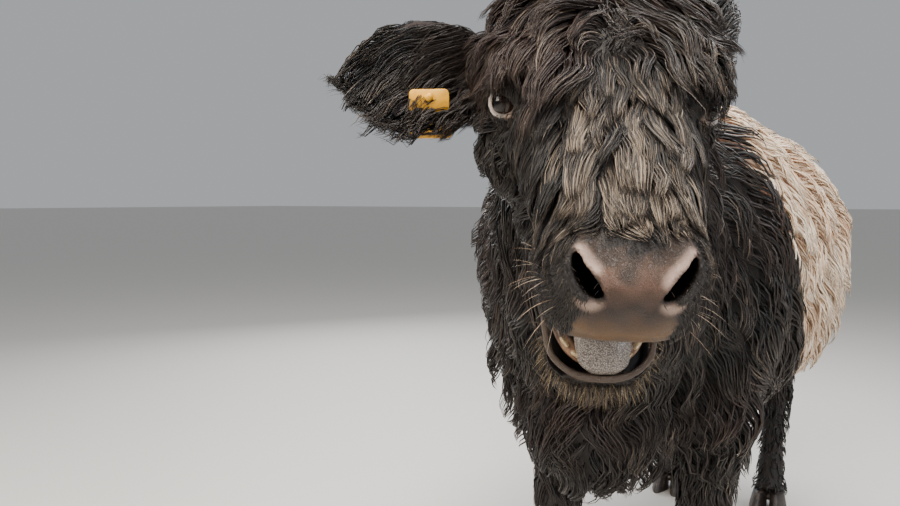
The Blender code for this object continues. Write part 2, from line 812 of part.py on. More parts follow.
def tongue_piece():
    rows = [
        (0.050, 0, -0.078, 0.026, 0.010, 0.014),
        (0.110, 0, -0.074, 0.030, 0.014, 0.016),
        (0.170, 0, -0.072, 0.033, 0.016, 0.016),
        (0.215, 0, -0.072, 0.034, 0.014, 0.014),
        (0.241, 0, -0.074, 0.026, 0.010, 0.010),
        (0.250, 0, -0.076, 0.014, 0.005, 0.006),
    ]
    return tube("tongue", rows, rings=8, sides=8, power=0.9, matrix=JAW_MATRIX)


def tooth(angle):
    """An incisor: a small flat oval on the arc of the lower gum."""
    along, across = GUM_ARC[0] * math.cos(angle), GUM_ARC[1] * math.sin(angle)
    centre = Vector((0.205 + along, across, -0.074))
    size = 0.0062 - 0.0012 * abs(math.sin(angle))
    turn = math.degrees(math.atan2(across, along))
    radii = (0.0035, size, 0.0125)
    return ellipsoid("tooth", centre, radii, JAW_MATRIX, turn=(0, 0, turn), segments=5, rings=4)


def ear_shell(name, side, axis, across):
    """A leaf-shaped cup. Also returns its root, and the directions along, across and out of it."""
    root = HEAD_MATRIX @ Vector((EAR_ROOT.x, side * EAR_ROOT.y, EAR_ROOT.z))
    axis = axis.normalized()
    across = (across - axis * across.dot(axis)).normalized()
    facing = across.cross(axis).normalized()
    if facing.y > 0 and side < 0:
        facing = -facing
    bm = bmesh.new()
    rings = []
    for along, wide, cup in EAR_STATIONS:
        front, back = [], []
        for k in range(EAR_COLUMNS + 1):
            v = 2 * k / EAR_COLUMNS - 1
            centre = root + axis * EAR_LENGTH * along + across * EAR_HALF_HEIGHT * wide * v
            depth = cup * (1 - v * v)
            thick = 0.0035 + 0.006 * max(0.0, 0.35 - along) * (1 - v * v)
            front.append(bm.verts.new(centre - facing * depth))
            back.append(bm.verts.new(centre - facing * (depth + 2 * thick)))
        rings.append(front + back[::-1])
    count = len(rings[0])
    for a, b in zip(rings, rings[1:]):
        for k in range(count):
            j = (k + 1) % count
            bm.faces.new((a[k], a[j], b[j], b[k]))
    bm.faces.new(rings[0])
    bm.faces.new(rings[-1][::-1])
    bmesh.ops.triangulate(bm, faces=bm.faces)
    bmesh.ops.recalc_face_normals(bm, faces=bm.faces)
    return new_object(name, bm), root, axis, across, facing


def plate(name, centre, wide_axis, tall_axis, width, height):
    """A flat tag with rounded corners."""
    normal = wide_axis.cross(tall_axis).normalized()
    bm = bmesh.new()
    front, back = [], []
    for cx, cy, start in ((1, 1, 0), (-1, 1, 90), (-1, -1, 180), (1, -1, 270)):
        for step in (0, 45, 90):
            angle = math.radians(start + step)
            x = cx * (width / 2 - TAG_CORNER) + TAG_CORNER * math.cos(angle)
            y = cy * (height / 2 - TAG_CORNER) + TAG_CORNER * math.sin(angle)
            spot = centre + wide_axis * x + tall_axis * y
            front.append(bm.verts.new(spot + normal * TAG_THICKNESS / 2))
            back.append(bm.verts.new(spot - normal * TAG_THICKNESS / 2))
    bm.faces.new(front)
    bm.faces.new(back[::-1])
    for k in range(len(front)):
        j = (k + 1) % len(front)
        bm.faces.new((front[k], back[k], back[j], front[j]))
    bmesh.ops.recalc_face_normals(bm, faces=bm.faces)
    return new_object(name, bm)


def rod(name, start, end, radius, sides=10):
    bm = bmesh.new()
    along = end - start
    turn = along.to_track_quat("Z", "Y").to_matrix().to_4x4()
    bmesh.ops.create_cone(
        bm, cap_ends=True, segments=sides, radius1=radius, radius2=radius, depth=along.length,
    )
    bm.transform(Matrix.Translation((start + end) / 2) @ turn)
    return new_object(name, bm)


# How the coat lies


def trunk_lie(point, normal):
    """Out and back from the spine, down and a little back on the sides, straight back on the belly."""
    top = max(0.0, normal.z)
    if normal.z < -0.6:
        return tangent(Vector((0.0, 1.0, -0.1)), normal)
    return tangent(Vector((math.copysign(0.7 * top, point.x), 0.42, -0.9 * (1 - top))), normal)


def neck_lie(point, normal):
    top = max(0.0, normal.z)
    out = LEFT * math.copysign(0.6 * top, (point - NECK_CUT).dot(LEFT))
    return tangent(out + Vector((-0.12, 0.40, -0.85 * (1 - top))), normal)


def leg_lie(point, normal):
    return tangent(Vector((0, 0.18, -1)), normal)


def face_lie(point, normal):
    """From the poll down the face to the nose, parting outward, and down and back over the cheeks."""
    x, y, z = HEAD_MATRIX.inverted() @ point
    top = min(1.0, max(0.0, (z + 0.01) / 0.06))
    part = max(-1.0, min(1.0, y / 0.09))
    over = NOSE * 1.0 + LEFT * part * (0.75 if x < 0.02 else 0.25)
    cheek = -BROW * 1.0 - NOSE * 0.25 + Vector((0, 0, -0.6))
    return tangent(over * top + cheek * (1 - top), normal)


THROAT_CUT = Vector((0.112, -0.930, 1.045))
THROAT_CUT_NORMAL = Vector((0.29, -0.82, 0.49)).normalized()
NECK_CUT = Vector((0.02, -0.60, 0.86))
NECK_CUT_NORMAL = Vector((0.22, -0.95, 0.42)).normalized()
AHEAD, BEHIND = Vector((0, -1, 0)), Vector((0, 1, 0))
BELT_FRONT, BELT_REAR = Vector((0, BELT_FRONT_Y, 0)), Vector((0, BELT_REAR_Y, 0))

# The planes that part the trunk and neck, each with the direction to the side that is kept
TRUNK_BOUNDS = {
    "throat": [(THROAT_CUT, THROAT_CUT_NORMAL)],
    "neck": [(THROAT_CUT, -THROAT_CUT_NORMAL), (NECK_CUT, NECK_CUT_NORMAL)],
    "torso_shoulders": [(NECK_CUT, -NECK_CUT_NORMAL), (BELT_FRONT, AHEAD)],
    "torso_belt": [(BELT_FRONT, BEHIND), (BELT_REAR, AHEAD)],
    "torso_rump": [(BELT_REAR, BEHIND)],
}


def ears(head):
    """Both ears and the tag. The right ear stands out sideways, the left one back and up.

    Returns the nodes, and each ear's root and directions.
    """
    made, poses = {}, {}
    for side, name in ((-1, "ear_right"), (1, "ear_left")):
        if side < 0:
            axis, across = -LEFT + Vector((0, 0, -0.05)), Vector((0, 0, 1))
        else:
            axis, across = LEFT * 0.35 + Vector((-0.25, 0.60, 0.60)), Vector((0.3, -0.8, 0.6))
        ear, root, axis, across, facing = ear_shell(name, side, axis, across)
        clear_of(ear, head)
        if side < 0:
            made.update(tag_pieces(ear, root, axis, across, facing))
        made[name] = ear
        poses[name] = (root, axis, across, facing)
    return made, poses


def tag_pieces(ear, root, axis, across, facing):
    """A yellow plate ahead of the ear and a larger one behind it, on a pin through the ear."""
    through = root + axis * EAR_LENGTH * TAG_ALONG - across * TAG_BELOW
    front_at = through - facing * 0.004 - across * 0.004
    back_at = through - facing * 0.038 - across * 0.022
    front = plate("ear_tag_front", front_at, axis, across, 0.050, 0.028)
    back = plate("ear_tag_back", back_at, axis, across, 0.054, 0.052)
    pin_end = through - facing * (0.004 + TAG_THICKNESS / 2 + GAP)
    pin = rod("pin", through - facing * 0.0375, pin_end, PIN_RADIUS)
    back = unite("ear_tag_back", [back, pin])
    clear_of(ear, front, back)
    return {"ear_tag_front": front, "ear_tag_back": back}


TAIL = [
    (0.0, 0.735, 1.040, 0.034, 0.034, 0.034),
    (0.0, 0.800, 1.000, 0.032, 0.032, 0.032),
    (0.004, 0.826, 0.900, 0.028, 0.028, 0.028),
    (0.006, 0.824, 0.760, 0.022, 0.022, 0.022),
    (0.008, 0.815, 0.620, 0.019, 0.019, 0.019),
    (0.010, 0.808, 0.530, 0.018, 0.018, 0.018),
]
SWITCH = [
    (0.010, 0.808, 0.550, 0.019, 0.019, 0.019),
    (0.012, 0.805, 0.480, 0.034, 0.034, 0.034),
    (0.012, 0.805, 0.420, 0.036, 0.036, 0.036),
    (0.014, 0.803, 0.340, 0.022, 0.022, 0.022),
    (0.016, 0.802, 0.290, 0.006, 0.006, 0.006),
]


def udder_piece():
    bag = ellipsoid("udder", (0, 0.375, 0.525), (0.10, 0.13, 0.085), segments=10, rings=7)
    teats = []
    for x in (-0.048, 0.048):
        for y in (0.325, 0.425):
            teats.append(ellipsoid("teat", (x, y, 0.446), (0.012, 0.012, 0.038), segments=5, rings=4))
    return unite("udder", [bag] + teats)


def place_on_floor(parts):
    """Moves the whole model so that the middle of its bounding box's base is at the origin."""
    corners = np.array([v.co for obj in parts.values() for v in obj.data.vertices])
    low, high = corners.min(axis=0), corners.max(axis=0)
    shift = Matrix.Translation((-(low[0] + high[0]) / 2, -(low[1] + high[1]) / 2, 0.0))
    for obj in parts.values():
        obj.data.transform(shift)


SLOTS = {
    "muzzle": "nose_skin",
    "tongue": "mouth_flesh",
    "torso_belt": "white_coat",
    "eye_left": "eye",
    "eye_right": "eye",
    "udder": "udder_skin",
    "ear_tag_front": "tag_plastic",
    "ear_tag_back": "tag_plastic",
}


def dress(parts):
    materials = finish_materials()
    for name, obj in parts.items():
        slot = "hoof_horn" if name.startswith("hoof") else SLOTS.get(name, "black_coat")
        obj.data.materials.clear()
        obj.data.materials.append(materials[slot])
        obj.data.shade_smooth()
        obj.data.set_sharp_from_angle(angle=math.radians(40))


def trunk_nodes(parts):
    """The trunk and neck, parted by thin planes. Returns the head's throat, and the whole surface."""
    body = body_core(CORE)
    remesh(body, 0.017, 8, BODY_FACES)
    for name, planes in TRUNK_BOUNDS.items():
        parts[name] = copy_of(body, name)
        for point, normal in planes:
            keep_side(parts[name], point, normal)
        settle(parts[name])
    tree = surface_of(body)
    drop(body)
    return parts.pop("throat"), tree


def head_nodes(parts, throat):
    """The head with its eyes, muzzle, jaw, tongue and ears. Returns each ear's root and directions."""
    head = skull_core(CORE * 0.6)
    parts.update(cut_eyes(head))
    muzzle = copy_of(head, "muzzle")
    cut_at = HEAD_MATRIX @ Vector((MUZZLE_FROM, 0, 0))
    keep_side(head, cut_at, -NOSE)
    keep_side(muzzle, cut_at, NOSE)
    unite("head", [head, throat])
    keep_side(head, THROAT_CUT, THROAT_CUT_NORMAL)
    settle(head)
    cut_nostrils(muzzle)
    settle(muzzle)
    parts["head"], parts["muzzle"] = head, muzzle

    tongue = tongue_piece()
    jaw = jaw_core()
    clear_of(jaw, tongue)
    unite("lower_jaw", [jaw] + [tooth(math.radians(angle)) for angle in INCISOR_ANGLES])
    clear_of(jaw, tongue, head, muzzle)
    keep_side(jaw, THROAT_CUT, THROAT_CUT_NORMAL)
    settle(jaw)
    clear_of(tongue, head, muzzle)
    parts["tongue"], parts["lower_jaw"] = tongue, jaw
    made, poses = ears(head)
    parts.update(made)
    return poses


def leg_nodes(parts):
    for side, word in ((-1, "right"), (1, "left")):
        for kind, stations, split in (("foreleg", FORELEG, KNEE_Z), ("hindleg", HINDLEG, HOCK_Z)):
            upper = leg_core(kind + "_upper_" + word, stations, side, CORE * 0.8, LEG_FACES)
            foot = "hoof_front_" if kind == "foreleg" else "hoof_rear_"
            parts[foot + word] = hoof(foot + word, side * stations[-1][0], stations[-1][1])
            keep_side(upper, (0, 0, HOOF_TOP_Z), (0, 0, 1))
            lower = copy_of(upper, kind + "_lower_" + word)
            keep_side(lower, (0, 0, split), (0, 0, -1))
            keep_side(upper, (0, 0, split), (0, 0, 1))
            parts[upper.name], parts[lower.name] = upper, lower


def tail_nodes(parts):
    parts["tail"] = tube("tail", TAIL, rings=10, sides=8, power=1.0, upright=(0, 1, 0.3))
    parts["tail_switch"] = tube("tail_switch", SWITCH, rings=7, sides=8, power=1.0, upright=(0, 1, 0.3))
    keep_side(parts["tail"], (0, 0, SWITCH_TOP_Z), (0, 0, 1))
    keep_side(parts["tail_switch"], (0, 0, SWITCH_TOP_Z), (0, 0, -1))
    parts["udder"] = udder_piece()


# The coats


def coat_of_body(parts, tree):
    """Long locks on the trunk, shorter curled ones on the neck, all within their own part's planes."""
    kinds = {
        "torso_shoulders": (TRUNK_SPACING, trunk_lie, TRUNK_LOCK),
        "torso_belt": (TRUNK_SPACING, trunk_lie, TRUNK_LOCK),
        "torso_rump": (TRUNK_SPACING, trunk_lie, TRUNK_LOCK),
        "neck": (NECK_SPACING, neck_lie, NECK_LOCK),
    }
    for seed, (name, (spacing, lie, size)) in enumerate(kinds.items()):
        planes = TRUNK_BOUNDS[name]
        coat(
            parts, name, tree, 11 + seed, lambda p: spacing, lie,
            lambda p: within(planes, p, ROOT_MARGIN), planes, lambda p: size,
        )


def eye_guards():
    """Rounds about the eyes that no lock may enter."""
    guards = []
    for _, _, centre in eye_places():
        guard = ellipsoid("guard", centre, (EYE_CLEARANCE,) * 3, HEAD_MATRIX, segments=12, rings=8)
        guards.append(surface_of(guard))
        drop(guard)
    return guards


def coat_of_head(parts, tree):
    """The forelock falls from the poll over the face. Shorter locks cover the cheeks and throat."""
    eyes = [HEAD_MATRIX @ centre for _, _, centre in eye_places()]
    to_head = HEAD_MATRIX.inverted()
    planes = [(THROAT_CUT, THROAT_CUT_NORMAL), (HEAD_MATRIX @ Vector((FORELOCK_END, 0, 0)), -NOSE)]

    def wanted(point):
        x, y, z = to_head @ point
        off_eyes = min((point - eye).length for eye in eyes) > EYE_CLEARANCE + 0.012
        return x < 0.15 and z > -0.13 and off_eyes

    def on_face(point):
        return (to_head @ point).z > 0.02

    coat(
        parts, "head", tree, 31, lambda p: FORELOCK_SPACING if on_face(p) else CHEEK_SPACING, face_lie,
        wanted, planes, lambda p: FORELOCK if on_face(p) else CHEEK_LOCK, guards=eye_guards(),
    )


def coat_of_legs(parts):
    for seed, word in enumerate(("left", "right")):
        for kind, low in (("foreleg", KNEE_Z), ("hindleg", HOCK_Z)):
            name = kind + "_upper_" + word
            planes = [(Vector((0, 0, low)), Vector((0, 0, 1)))]
            coat(
                parts, name, surface_of(parts[name]), 41 + seed, lambda p: LEG_SPACING, leg_lie,
                lambda p, bounds=planes: within(bounds, p, 0.03), planes, lambda p: LEG_LOCK,
            )


def coat_of_ears(parts, poses):
    """A fringe of drooping locks along both edges of each ear and past its tip."""
    for seed, (name, (root, axis, across, facing)) in enumerate(poses.items()):
        neighbours = [surface_of(obj) for other, obj in parts.items() if other != name]

        def draw_locks(rng):
            made = []
            for edge, step in [(edge, step) for edge in (-1, 1) for step in range(EAR_LOCKS)]:
                along = 0.30 + 0.68 * step / (EAR_LOCKS - 1)
                wide = EAR_HALF_HEIGHT * math.sqrt(max(0.0, 1 - ((along - 0.5) / 0.56) ** 2))
                out = (axis * (0.30 + 0.9 * along**2) + across * edge * (0.9 - 0.5 * along)).normalized()
                start = root + axis * EAR_LENGTH * along + across * edge * wide * 0.80 - facing * 0.008
                flat = facing.cross(out).normalized()
                length = EAR_LOCK[0] * rng.uniform(0.8, 1.15)
                for share in LOCK_SHORTENED:
                    reach = length * share
                    droop = Vector((0, 0, -0.55 * reach))
                    points = [start + out * reach * t + droop * t * t for t in LOCK_STOPS]
                    widths = [EAR_LOCK[1] * w for w in LOCK_WIDTHS]
                    piece = ribbon(points, [flat] * 3, [facing] * 3, widths, EAR_LOCK[3])
                    if fits(piece, [], neighbours):
                        made.append(piece)
                        break
                    piece.free()
            return made

        fuse_locks(parts[name], 61 + seed, draw_locks)


def coat_of_tail(parts):
    """Locks hang down the tail and make its bushy end."""
    up, down = Vector((0, 0, 1)), Vector((0, 0, -1))
    bounds = {
        "tail": (TAIL_SPACING, TAIL[1][2], [(Vector((0, 0, SWITCH_TOP_Z)), up)]),
        "tail_switch": (SWITCH_SPACING, 1.0, [(Vector((0, 0, SWITCH_TOP_Z)), down)]),
    }
    for seed, (name, (spacing, top, planes)) in enumerate(bounds.items()):
        coat(
            parts, name, surface_of(parts[name]), 51 + seed, lambda p, room=spacing: room, leg_lie,
            lambda p, high=top, cuts=planes: p.z < high and within(cuts, p, 0.004),
            planes, lambda p: TAIL_LOCK, sink=0.008,
        )


def main():
    clear_scene()
    parts = {}
    throat, body_tree = trunk_nodes(parts)
    poses = head_nodes(parts, throat)
    leg_nodes(parts)
    tail_nodes(parts)
    clear_of(parts["neck"], parts["ear_right"], parts["ear_left"])
    torso = [parts[name] for name in ("torso_shoulders", "torso_belt", "torso_rump")]
    skull_tree = surface_of(parts["head"])
    for word in ("left", "right"):
        clear_of(parts["foreleg_upper_" + word], torso[0], torso[1])
        clear_of(parts["hindleg_upper_" + word], torso[2], torso[1])
        clear_of(parts["foreleg_lower_" + word], parts["hoof_front_" + word])
        clear_of(parts["hindleg_lower_" + word], parts["hoof_rear_" + word])
    hind = [parts["hindleg_upper_left"], parts["hindleg_upper_right"]]
    clear_of(parts["udder"], torso[2], torso[1], *hind)
    clear_of(parts["tail"], torso[2])
    coat_of_head(parts, skull_tree)
    coat_of_ears(parts, poses)
    coat_of_body(parts, body_tree)
    coat_of_legs(parts)
    coat_of_tail(parts)
    for obj in parts.values():
        settle(obj)
    place_on_floor(parts)
    dress(parts)


main()
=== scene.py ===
import math

import bmesh
import bpy
import numpy as np
from mathutils import Matrix, Vector
from mathutils.bvhtree import BVHTree
from mathutils.kdtree import KDTree


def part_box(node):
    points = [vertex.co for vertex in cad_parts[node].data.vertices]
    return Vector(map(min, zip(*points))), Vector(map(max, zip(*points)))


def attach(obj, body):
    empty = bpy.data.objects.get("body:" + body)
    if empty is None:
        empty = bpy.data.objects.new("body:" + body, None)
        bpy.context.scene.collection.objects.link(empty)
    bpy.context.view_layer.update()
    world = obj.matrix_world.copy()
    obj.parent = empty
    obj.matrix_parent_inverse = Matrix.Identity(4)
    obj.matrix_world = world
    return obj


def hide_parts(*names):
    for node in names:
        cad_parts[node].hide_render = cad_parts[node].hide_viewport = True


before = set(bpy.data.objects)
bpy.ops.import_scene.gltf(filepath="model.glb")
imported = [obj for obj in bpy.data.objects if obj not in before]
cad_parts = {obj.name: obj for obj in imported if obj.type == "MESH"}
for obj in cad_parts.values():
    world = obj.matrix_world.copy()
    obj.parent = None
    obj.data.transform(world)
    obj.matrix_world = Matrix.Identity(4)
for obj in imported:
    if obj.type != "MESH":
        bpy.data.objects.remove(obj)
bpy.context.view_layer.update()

print("frame loaded:", len(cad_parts), "nodes")

# the head: midpoint between the eyes, and how the face is turned
headPose = {
    "eyeMid": (0.185, -1.129, 1.087),
    "yaw": 29.5,
    "pitch": 44.0,
    "roll": -2.4,
    "jawOpen": 18.0,
    "jawSwing": 0.9,  # the lower jaw is pushed a little to the animal's left
    "jawPivot": (-0.08, 0.0, -0.05),
}


def headAxes(pose):
    yaw, pitch, roll = (math.radians(pose[key]) for key in ("yaw", "pitch", "roll"))
    nose = Vector((math.sin(yaw) * math.cos(pitch), -math.cos(yaw) * math.cos(pitch), -math.sin(pitch)))
    left = Vector((math.cos(yaw), math.sin(yaw), 0.0))
    turn = Matrix.Rotation(roll, 3, Vector((math.sin(yaw), -math.cos(yaw), 0.0)))
    nose, left = turn @ nose, turn @ left
    return nose, left, nose.cross(left)


noseWay, leftWay, browWay = headAxes(headPose)
headMatrix = Matrix.Identity(4)
for column, axis in enumerate((noseWay, leftWay, browWay, Vector(headPose["eyeMid"]))):
    for row in range(3):
        headMatrix[row][column] = axis[row]
jawPivot = Matrix.Translation(Vector(headPose["jawPivot"]))
jawInHead = (
    jawPivot
    @ Matrix.Rotation(math.radians(headPose["jawSwing"]), 4, "Z")
    @ Matrix.Rotation(math.radians(headPose["jawOpen"]), 4, "Y")
    @ jawPivot.inverted()
)

# the solids were moved so that the base of their box is centred on the origin: the eyes tell by how much
eyeForward = 0.002
eyeBoxes = [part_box("eye_left"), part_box("eye_right")]
eyeMean = sum((low + high for low, high in eyeBoxes), Vector()) / 4
moved = eyeMean - headMatrix @ Vector((eyeForward, 0, 0))
moved.z = 0.0
print("solids moved by", [round(v, 4) for v in moved])


def linear(code):
    # sRGB hex to the linear values that shaders take
    parts = [int(code[i:i + 2], 16) / 255 for i in (1, 3, 5)]
    return tuple(c / 12.92 if c <= 0.04045 else ((c + 0.055) / 1.055) ** 2.4 for c in parts) + (1.0,)


def addNode(tree, kind, settings=None, links=None, stops=(), out=0):
    # settings: sockets by name or number, or properties of the node, with colours as sRGB hex
    # links: socket -> output of another node. stops: places and colours along a colour ramp
    node = tree.nodes.new("ShaderNode" + kind)
    for key, value in (settings or {}).items():
        if isinstance(key, int) or key in node.inputs:
            node.inputs[key].default_value = linear(value) if isinstance(value, str) else value
        else:
            setattr(node, key, value)
    for key, output in (links or {}).items():
        tree.links.new(output, node.inputs[key])
    if stops:
        elements = node.color_ramp.elements
        while len(elements) < len(stops):
            elements.new(0.5)
        for element, (place, code) in zip(elements, stops):
            element.position = place
            element.color = linear(code)
    return node.outputs[out]


def newMaterial(name, roughness, ior=1.5, **sockets):
    material = bpy.data.materials.new(name)
    material.use_nodes = True
    tree = material.node_tree
    shader = tree.nodes["Principled BSDF"]
    shader.inputs["Roughness"].default_value = roughness
    shader.inputs["IOR"].default_value = ior
    for key, value in sockets.items():
        shader.inputs[key.replace("_", " ")].default_value = value
    return material, tree, shader


def unit(vectors):
    return vectors / np.maximum(np.linalg.norm(vectors, axis=-1, keepdims=True), 1e-9)


def dots(first, second):
    return np.einsum("ij,ij->i", first, second)


def smoothStep(low, high, value):
    t = np.clip((value - low) / (high - low), 0.0, 1.0)
    return t * t * (3 - 2 * t)


def wobble(points, size, seed):
    # smooth noise of about -1 to 1, with swells of this size in metres
    rng = np.random.default_rng(seed)
    total = np.zeros(points.shape[:-1])
    for _ in range(6):
        way = unit(rng.normal(size=3)) * 2 * math.pi / (size * rng.uniform(0.6, 1.7))
        total += np.sin(points @ way + rng.uniform(0, 2 * math.pi))
    return total / 3.0


def smoothRows(stations, count):
    # more rows between the stations, on a curve through each of them
    rows = np.array(stations, float)
    steps = np.linalg.norm(np.diff(rows[:, :3], axis=0), axis=1)
    along = np.concatenate([[0.0], np.cumsum(steps)])
    slopes = np.gradient(rows, along, axis=0)
    found = []
    for s in np.linspace(0.0, along[-1], count):
        i = min(max(int(np.searchsorted(along, s)) - 1, 0), len(rows) - 2)
        h = along[i + 1] - along[i]
        t = (s - along[i]) / h
        found.append(
            rows[i] * (2 * t**3 - 3 * t**2 + 1)
            + slopes[i] * h * (t**3 - 2 * t**2 + t)
            + rows[i + 1] * (3 * t**2 - 2 * t**3)
            + slopes[i + 1] * h * (t**3 - t**2)
        )
    return np.array(found)


def bridge(bm, rings):
    # faces between rings of corners and over both ends
    for a, b in zip(rings, rings[1:]):
        for k in range(len(a)):
            j = (k + 1) % len(a)
            bm.faces.new((a[k], a[j], b[j], b[k]))
    bm.faces.new(rings[0])
    bm.faces.new(rings[-1][::-1])


def addLoft(bm, stations, rings, sides, power=0.85, upright=(0, 0, 1), matrix=None):
    # a closed tube through stations of x, y, z, half width, height above and height below
    rows = smoothRows(stations, rings)
    made = []
    for i, row in enumerate(rows):
        ahead = Vector(rows[min(i + 1, rings - 1)][:3]) - Vector(rows[max(i - 1, 0)][:3])
        side = ahead.cross(Vector(upright)).normalized()
        top = side.cross(ahead).normalized()
        ring = []
        for k in range(sides):
            angle = 2 * math.pi * k / sides
            c, s = math.cos(angle), math.sin(angle)
            x = row[3] * math.copysign(abs(c) ** power, c)
            z = (row[4] if s > 0 else row[5]) * math.copysign(abs(s) ** power, s)
            spot = Vector(row[:3]) + side * x + top * z
            ring.append(bm.verts.new(spot if matrix is None else matrix @ spot))
        made.append(ring)
    bridge(bm, made)


def addBlob(bm, centre, radii, turn=(0, 0, 0), matrix=None, segments=32, rings=20):
    place = Matrix.Translation(Vector(centre))
    for axis, angle in zip("XYZ", turn):
        place = place @ Matrix.Rotation(math.radians(angle), 4, axis)
    place = place @ Matrix.Diagonal((*radii, 1.0))
    if matrix is not None:
        place = matrix @ place
    bmesh.ops.create_uvsphere(bm, u_segments=segments, v_segments=rings, radius=1.0, matrix=place)


def addObject(name, data):
    obj = bpy.data.objects.new(name, data)
    bpy.context.scene.collection.objects.link(obj)
    return obj


def meshObject(name, bm):
    bmesh.ops.recalc_face_normals(bm, faces=bm.faces)
    mesh = bpy.data.meshes.new(name)
    bm.to_mesh(mesh)
    bm.free()
    return addObject(name, mesh)


def applyAll(obj):
    graph = bpy.context.evaluated_depsgraph_get()
    mesh = bpy.data.meshes.new_from_object(obj.evaluated_get(graph))
    old = obj.data
    obj.modifiers.clear()
    obj.data = mesh
    bpy.data.meshes.remove(old)


def fuse(obj, voxel, smoothing):
    # one skin from overlapping shapes, with its joins rounded
    step = obj.modifiers.new("fuse", "REMESH")
    step.mode = "VOXEL"
    step.voxel_size = voxel
    soften = obj.modifiers.new("soften", "SMOOTH")
    soften.factor = 0.5
    soften.iterations = smoothing
    applyAll(obj)


def cornersOf(obj, what="co"):
    found = np.empty(len(obj.data.vertices) * 3)
    obj.data.vertices.foreach_get(what, found)
    return found.reshape(-1, 3)


def setLayer(obj, name, values):
    layer = obj.data.attributes.new(name, "FLOAT", "POINT")
    layer.data.foreach_set("value", np.ascontiguousarray(values, np.float32))


def transformed(points, matrix):
    grid = np.array(matrix)
    return points @ grid[:3, :3].T + grid[:3, 3]


def finishPiece(obj, material, replaces=()):
    # moves a piece to where the solids stand, and gives it its body, finish and the nodes it stands for
    obj.data.transform(Matrix.Translation(moved))
    obj.data.materials.clear()
    obj.data.materials.append(material)
    obj.data.shade_smooth()
    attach(obj, "root")
    if replaces:
        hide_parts(*replaces)


# camera, floor and light

view = {
    "place": (0.472, -1.938, 0.977),
    "azimuth": 31.2,
    "down": 4.1,
    "lens": 29.5,
}
azimuth, down = math.radians(view["azimuth"]), math.radians(view["down"])
backWay = Vector((math.sin(azimuth) * math.cos(down), -math.cos(azimuth) * math.cos(down), math.sin(down)))
camera = addObject("camera", bpy.data.cameras.new("camera"))
camera.data.lens = view["lens"]
camera.data.sensor_width = 36.0
camera.location = Vector(view["place"]) + moved
camera.rotation_euler = backWay.to_track_quat("Z", "Y").to_euler()
bpy.context.scene.camera = camera

studio = {
    "floor": "#cfcbc4",
    "world": "#dfe3e8",
    "worldStrength": 0.55,
    "lights": [
        # place, aim, size, watts, colour
        ((0.5, -2.0, 3.3), (0.2, -1.0, 0.9), 1.6, 150, "#fff8ee"),
        ((-1.6, -3.2, 2.2), (0.2, -1.0, 0.9), 1.6, 105, "#fff6ea"),
        ((3.4, -2.0, 2.4), (0.2, -0.6, 0.8), 1.8, 90, "#f4f7ff"),
        ((0.2, 1.2, 3.6), (0.0, -0.4, 0.9), 2.2, 150, "#ffffff"),
        ((-2.8, 2.2, 2.2), (0.0, 0.2, 0.8), 2.0, 80, "#f2f6ff"),
    ],
}
floorMesh = bmesh.new()
bmesh.ops.create_grid(floorMesh, x_segments=1, y_segments=1, size=90.0)
floor = meshObject("floor", floorMesh)
floorPaint, _, floorShader = newMaterial("paintedFloor", 0.6)
floorShader.inputs["Base Color"].default_value = linear(studio["floor"])
floor.data.materials.append(floorPaint)
world = bpy.data.worlds.new("studio")
world.use_nodes = True
world.node_tree.nodes["Background"].inputs[0].default_value = linear(studio["world"])
world.node_tree.nodes["Background"].inputs[1].default_value = studio["worldStrength"]
bpy.context.scene.world = world
for number, (place, aim, size, watts, colour) in enumerate(studio["lights"]):
    lamp = bpy.data.lights.new(f"softbox{number}", "AREA")
    lamp.energy = watts
    lamp.size = size
    lamp.color = linear(colour)[:3]
    lampObject = addObject(lamp.name, lamp)
    lampObject.location = Vector(place) + moved
    lampObject.rotation_euler = (Vector(place) - Vector(aim)).to_track_quat("Z", "Y").to_euler()
print("camera, floor and lights placed")

# the skin of the body, on the same stations as the solids but without their coat

withersScale = 0.965
trunkStations = [
    (0.0, -0.72, 0.80, 0.150, 0.190, 0.200),
    (0.0, -0.62, 0.84, 0.220, 0.280, 0.280),
    (0.0, -0.50, 0.86, 0.270, 0.330, 0.340),
    (0.0, -0.34, 0.87, 0.290, 0.345, 0.355),
    (0.0, -0.12, 0.86, 0.315, 0.335, 0.350),
    (0.0, 0.10, 0.855, 0.340, 0.335, 0.350),
    (0.0, 0.28, 0.86, 0.330, 0.335, 0.330),
    (0.0, 0.45, 0.90, 0.285, 0.315, 0.300),
    (0.0, 0.60, 0.93, 0.250, 0.275, 0.290),
    (0.0, 0.72, 0.95, 0.185, 0.200, 0.240),
    (0.0, 0.76, 0.95, 0.100, 0.120, 0.150),
]
neckStations = [
    (0.000, -0.42, 0.860, 0.240, 0.290, 0.310),
    (0.015, -0.60, 0.885, 0.200, 0.260, 0.280),
    (0.055, -0.76, 0.945, 0.165, 0.210, 0.225),
    (0.102, -0.90, 1.015, 0.138, 0.165, 0.170),
    (0.122, -0.965, 1.058, 0.125, 0.140, 0.145),
    (0.134, -1.003, 1.080, 0.095, 0.110, 0.115),
]
foreLeg = [
    (0.155, -0.42, 0.700, 0.080, 0.120, 0.120),
    (0.155, -0.42, 0.560, 0.068, 0.092, 0.095),
    (0.158, -0.42, 0.450, 0.055, 0.066, 0.068),
    (0.160, -0.42, 0.360, 0.045, 0.050, 0.052),
    (0.160, -0.42, 0.310, 0.047, 0.050, 0.052),
    (0.160, -0.42, 0.260, 0.036, 0.040, 0.040),
    (0.160, -0.42, 0.180, 0.031, 0.034, 0.034),
    (0.160, -0.42, 0.115, 0.038, 0.042, 0.042),
    (0.160, -0.43, 0.085, 0.037, 0.042, 0.042),
    (0.160, -0.44, 0.055, 0.043, 0.050, 0.048),
]
